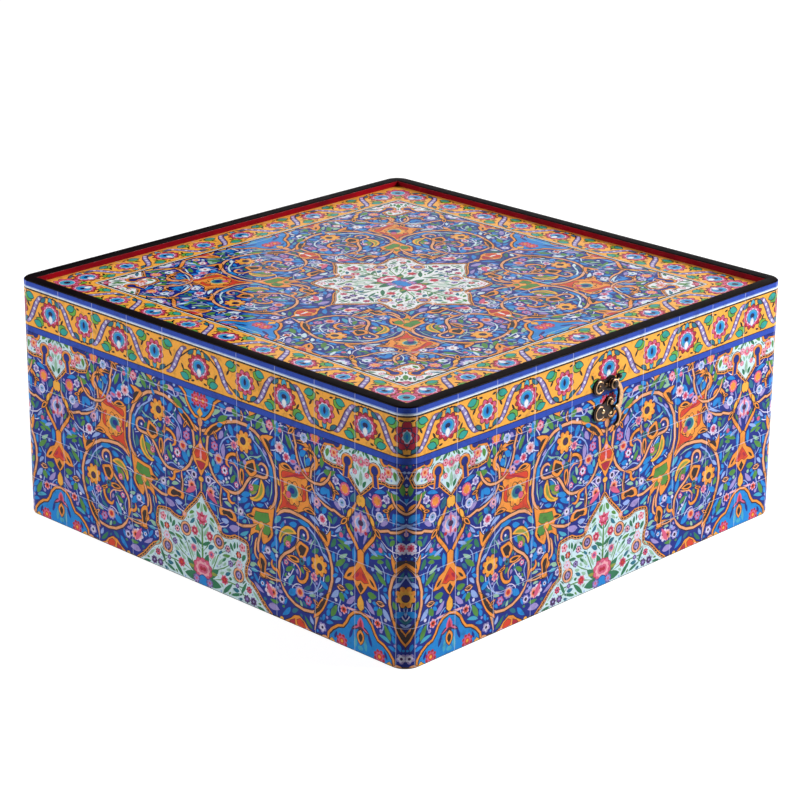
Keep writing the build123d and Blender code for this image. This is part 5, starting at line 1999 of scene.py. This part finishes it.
direction, split, climb = sky_node("TexCoord"), sky_node("SeparateXYZ"), sky_node("ValToRGB")
across, shade = sky_node("Math", operation="ADD"), sky_node("MapRange")
for key, value in (("From Min", -0.5), ("From Max", 0.15), ("To Min", 0.05), ("To Max", 1.0)):
    shade.inputs[key].default_value = value
dim = sky_node("Math", operation="MULTIPLY", i1=0.34)
paper = sky_node("Background", i0=(1, 1, 1, 1))
path, either = sky_node("LightPath"), sky_node("MixShader")
for a, out, b, into in ((direction, "Generated", split, 0), (split, "Z", climb, 0), (split, "X", across, 0),
        (split, "Y", across, 1), (across, 0, shade, "Value"), (shade, "Result", dim, 0), (dim, 0, background, 1),
        (climb, 0, background, 0), (path, "Is Camera Ray", either, 0), (background, 0, either, 1),
        (paper, 0, either, 2), (either, 0, sky.nodes["World Output"], "Surface")):
    sky.links.new(a.outputs[out], b.inputs[into])
for k, (at, colour) in enumerate(((0.35, (0.05, 0.05, 0.06, 1)), (0.75, (1, 1, 1, 1)))):
    climb.color_ramp.elements[k].position = at
    climb.color_ramp.elements[k].color = colour
scene = bpy.context.scene
scene.world = world
scene.view_settings.view_transform = "Standard"
print("world:", len(sky.nodes), "nodes")

# %% [markdown]
# Studio lamps shine through big cloths, so shadows have soft edges. A key light stands on the right, a weaker
# fill lights the left wall, and a white card is what the lacquer on top mirrors.

# %% Lights
def soft_light(name, place, target, size, power):
    """Lamp of a width and height in metres and a power in watts that faces a target."""
    light = bpy.data.lights.new(name, "AREA")
    light.shape = "RECTANGLE"
    light.size, light.size_y = size
    light.energy = power
    obj = placed(name, light)
    obj.location = place
    obj.rotation_euler = (Vector(target) - Vector(place)).to_track_quat("-Z", "Y").to_euler()


soft_light("key", (1.08, -1.12, 0.92), (0, 0, 0.08), (0.8, 0.6), 48)
soft_light("fill", (-1.02, 0.94, 0.75), (0, 0, 0.05), (0.8, 0.6), 20.5)
soft_light("card", (2.267, 1.42, 1.15), (0.917, -0.056, 1.15), (1.6, 1.9), 5.1)

# %% [markdown]
# The camera stands where the photograph was taken from. Its place, its three angles and its lens were found
# by fitting the corners of the box, so the two pictures can be laid over each other.

# %% Camera
EYE, FOCAL = (-1.02162, -0.99193, 0.58562), 121.53
lens_yaw, lens_pitch, lens_roll = (math.radians(a) for a in (44.175, 20.025, 0.371))
level = math.cos(lens_pitch)
ahead = Vector((math.cos(lens_yaw) * level, math.sin(lens_yaw) * level, -math.sin(lens_pitch)))
right = Vector((math.sin(lens_yaw), -math.cos(lens_yaw), 0))
upward = right.cross(ahead)
cos, sin = math.cos(lens_roll), math.sin(lens_roll)
right, upward = right * cos + upward * sin, upward * cos - right * sin
camera = placed("camera", bpy.data.cameras.new("camera"))
camera.matrix_world = Matrix.Translation(EYE) @ Matrix((right, upward, -ahead)).transposed().to_4x4()
camera.data.lens = FOCAL
camera.data.sensor_width = 36
scene.camera = camera
print("camera", round(Vector(EYE).length, 3), "m from the middle of the floor")
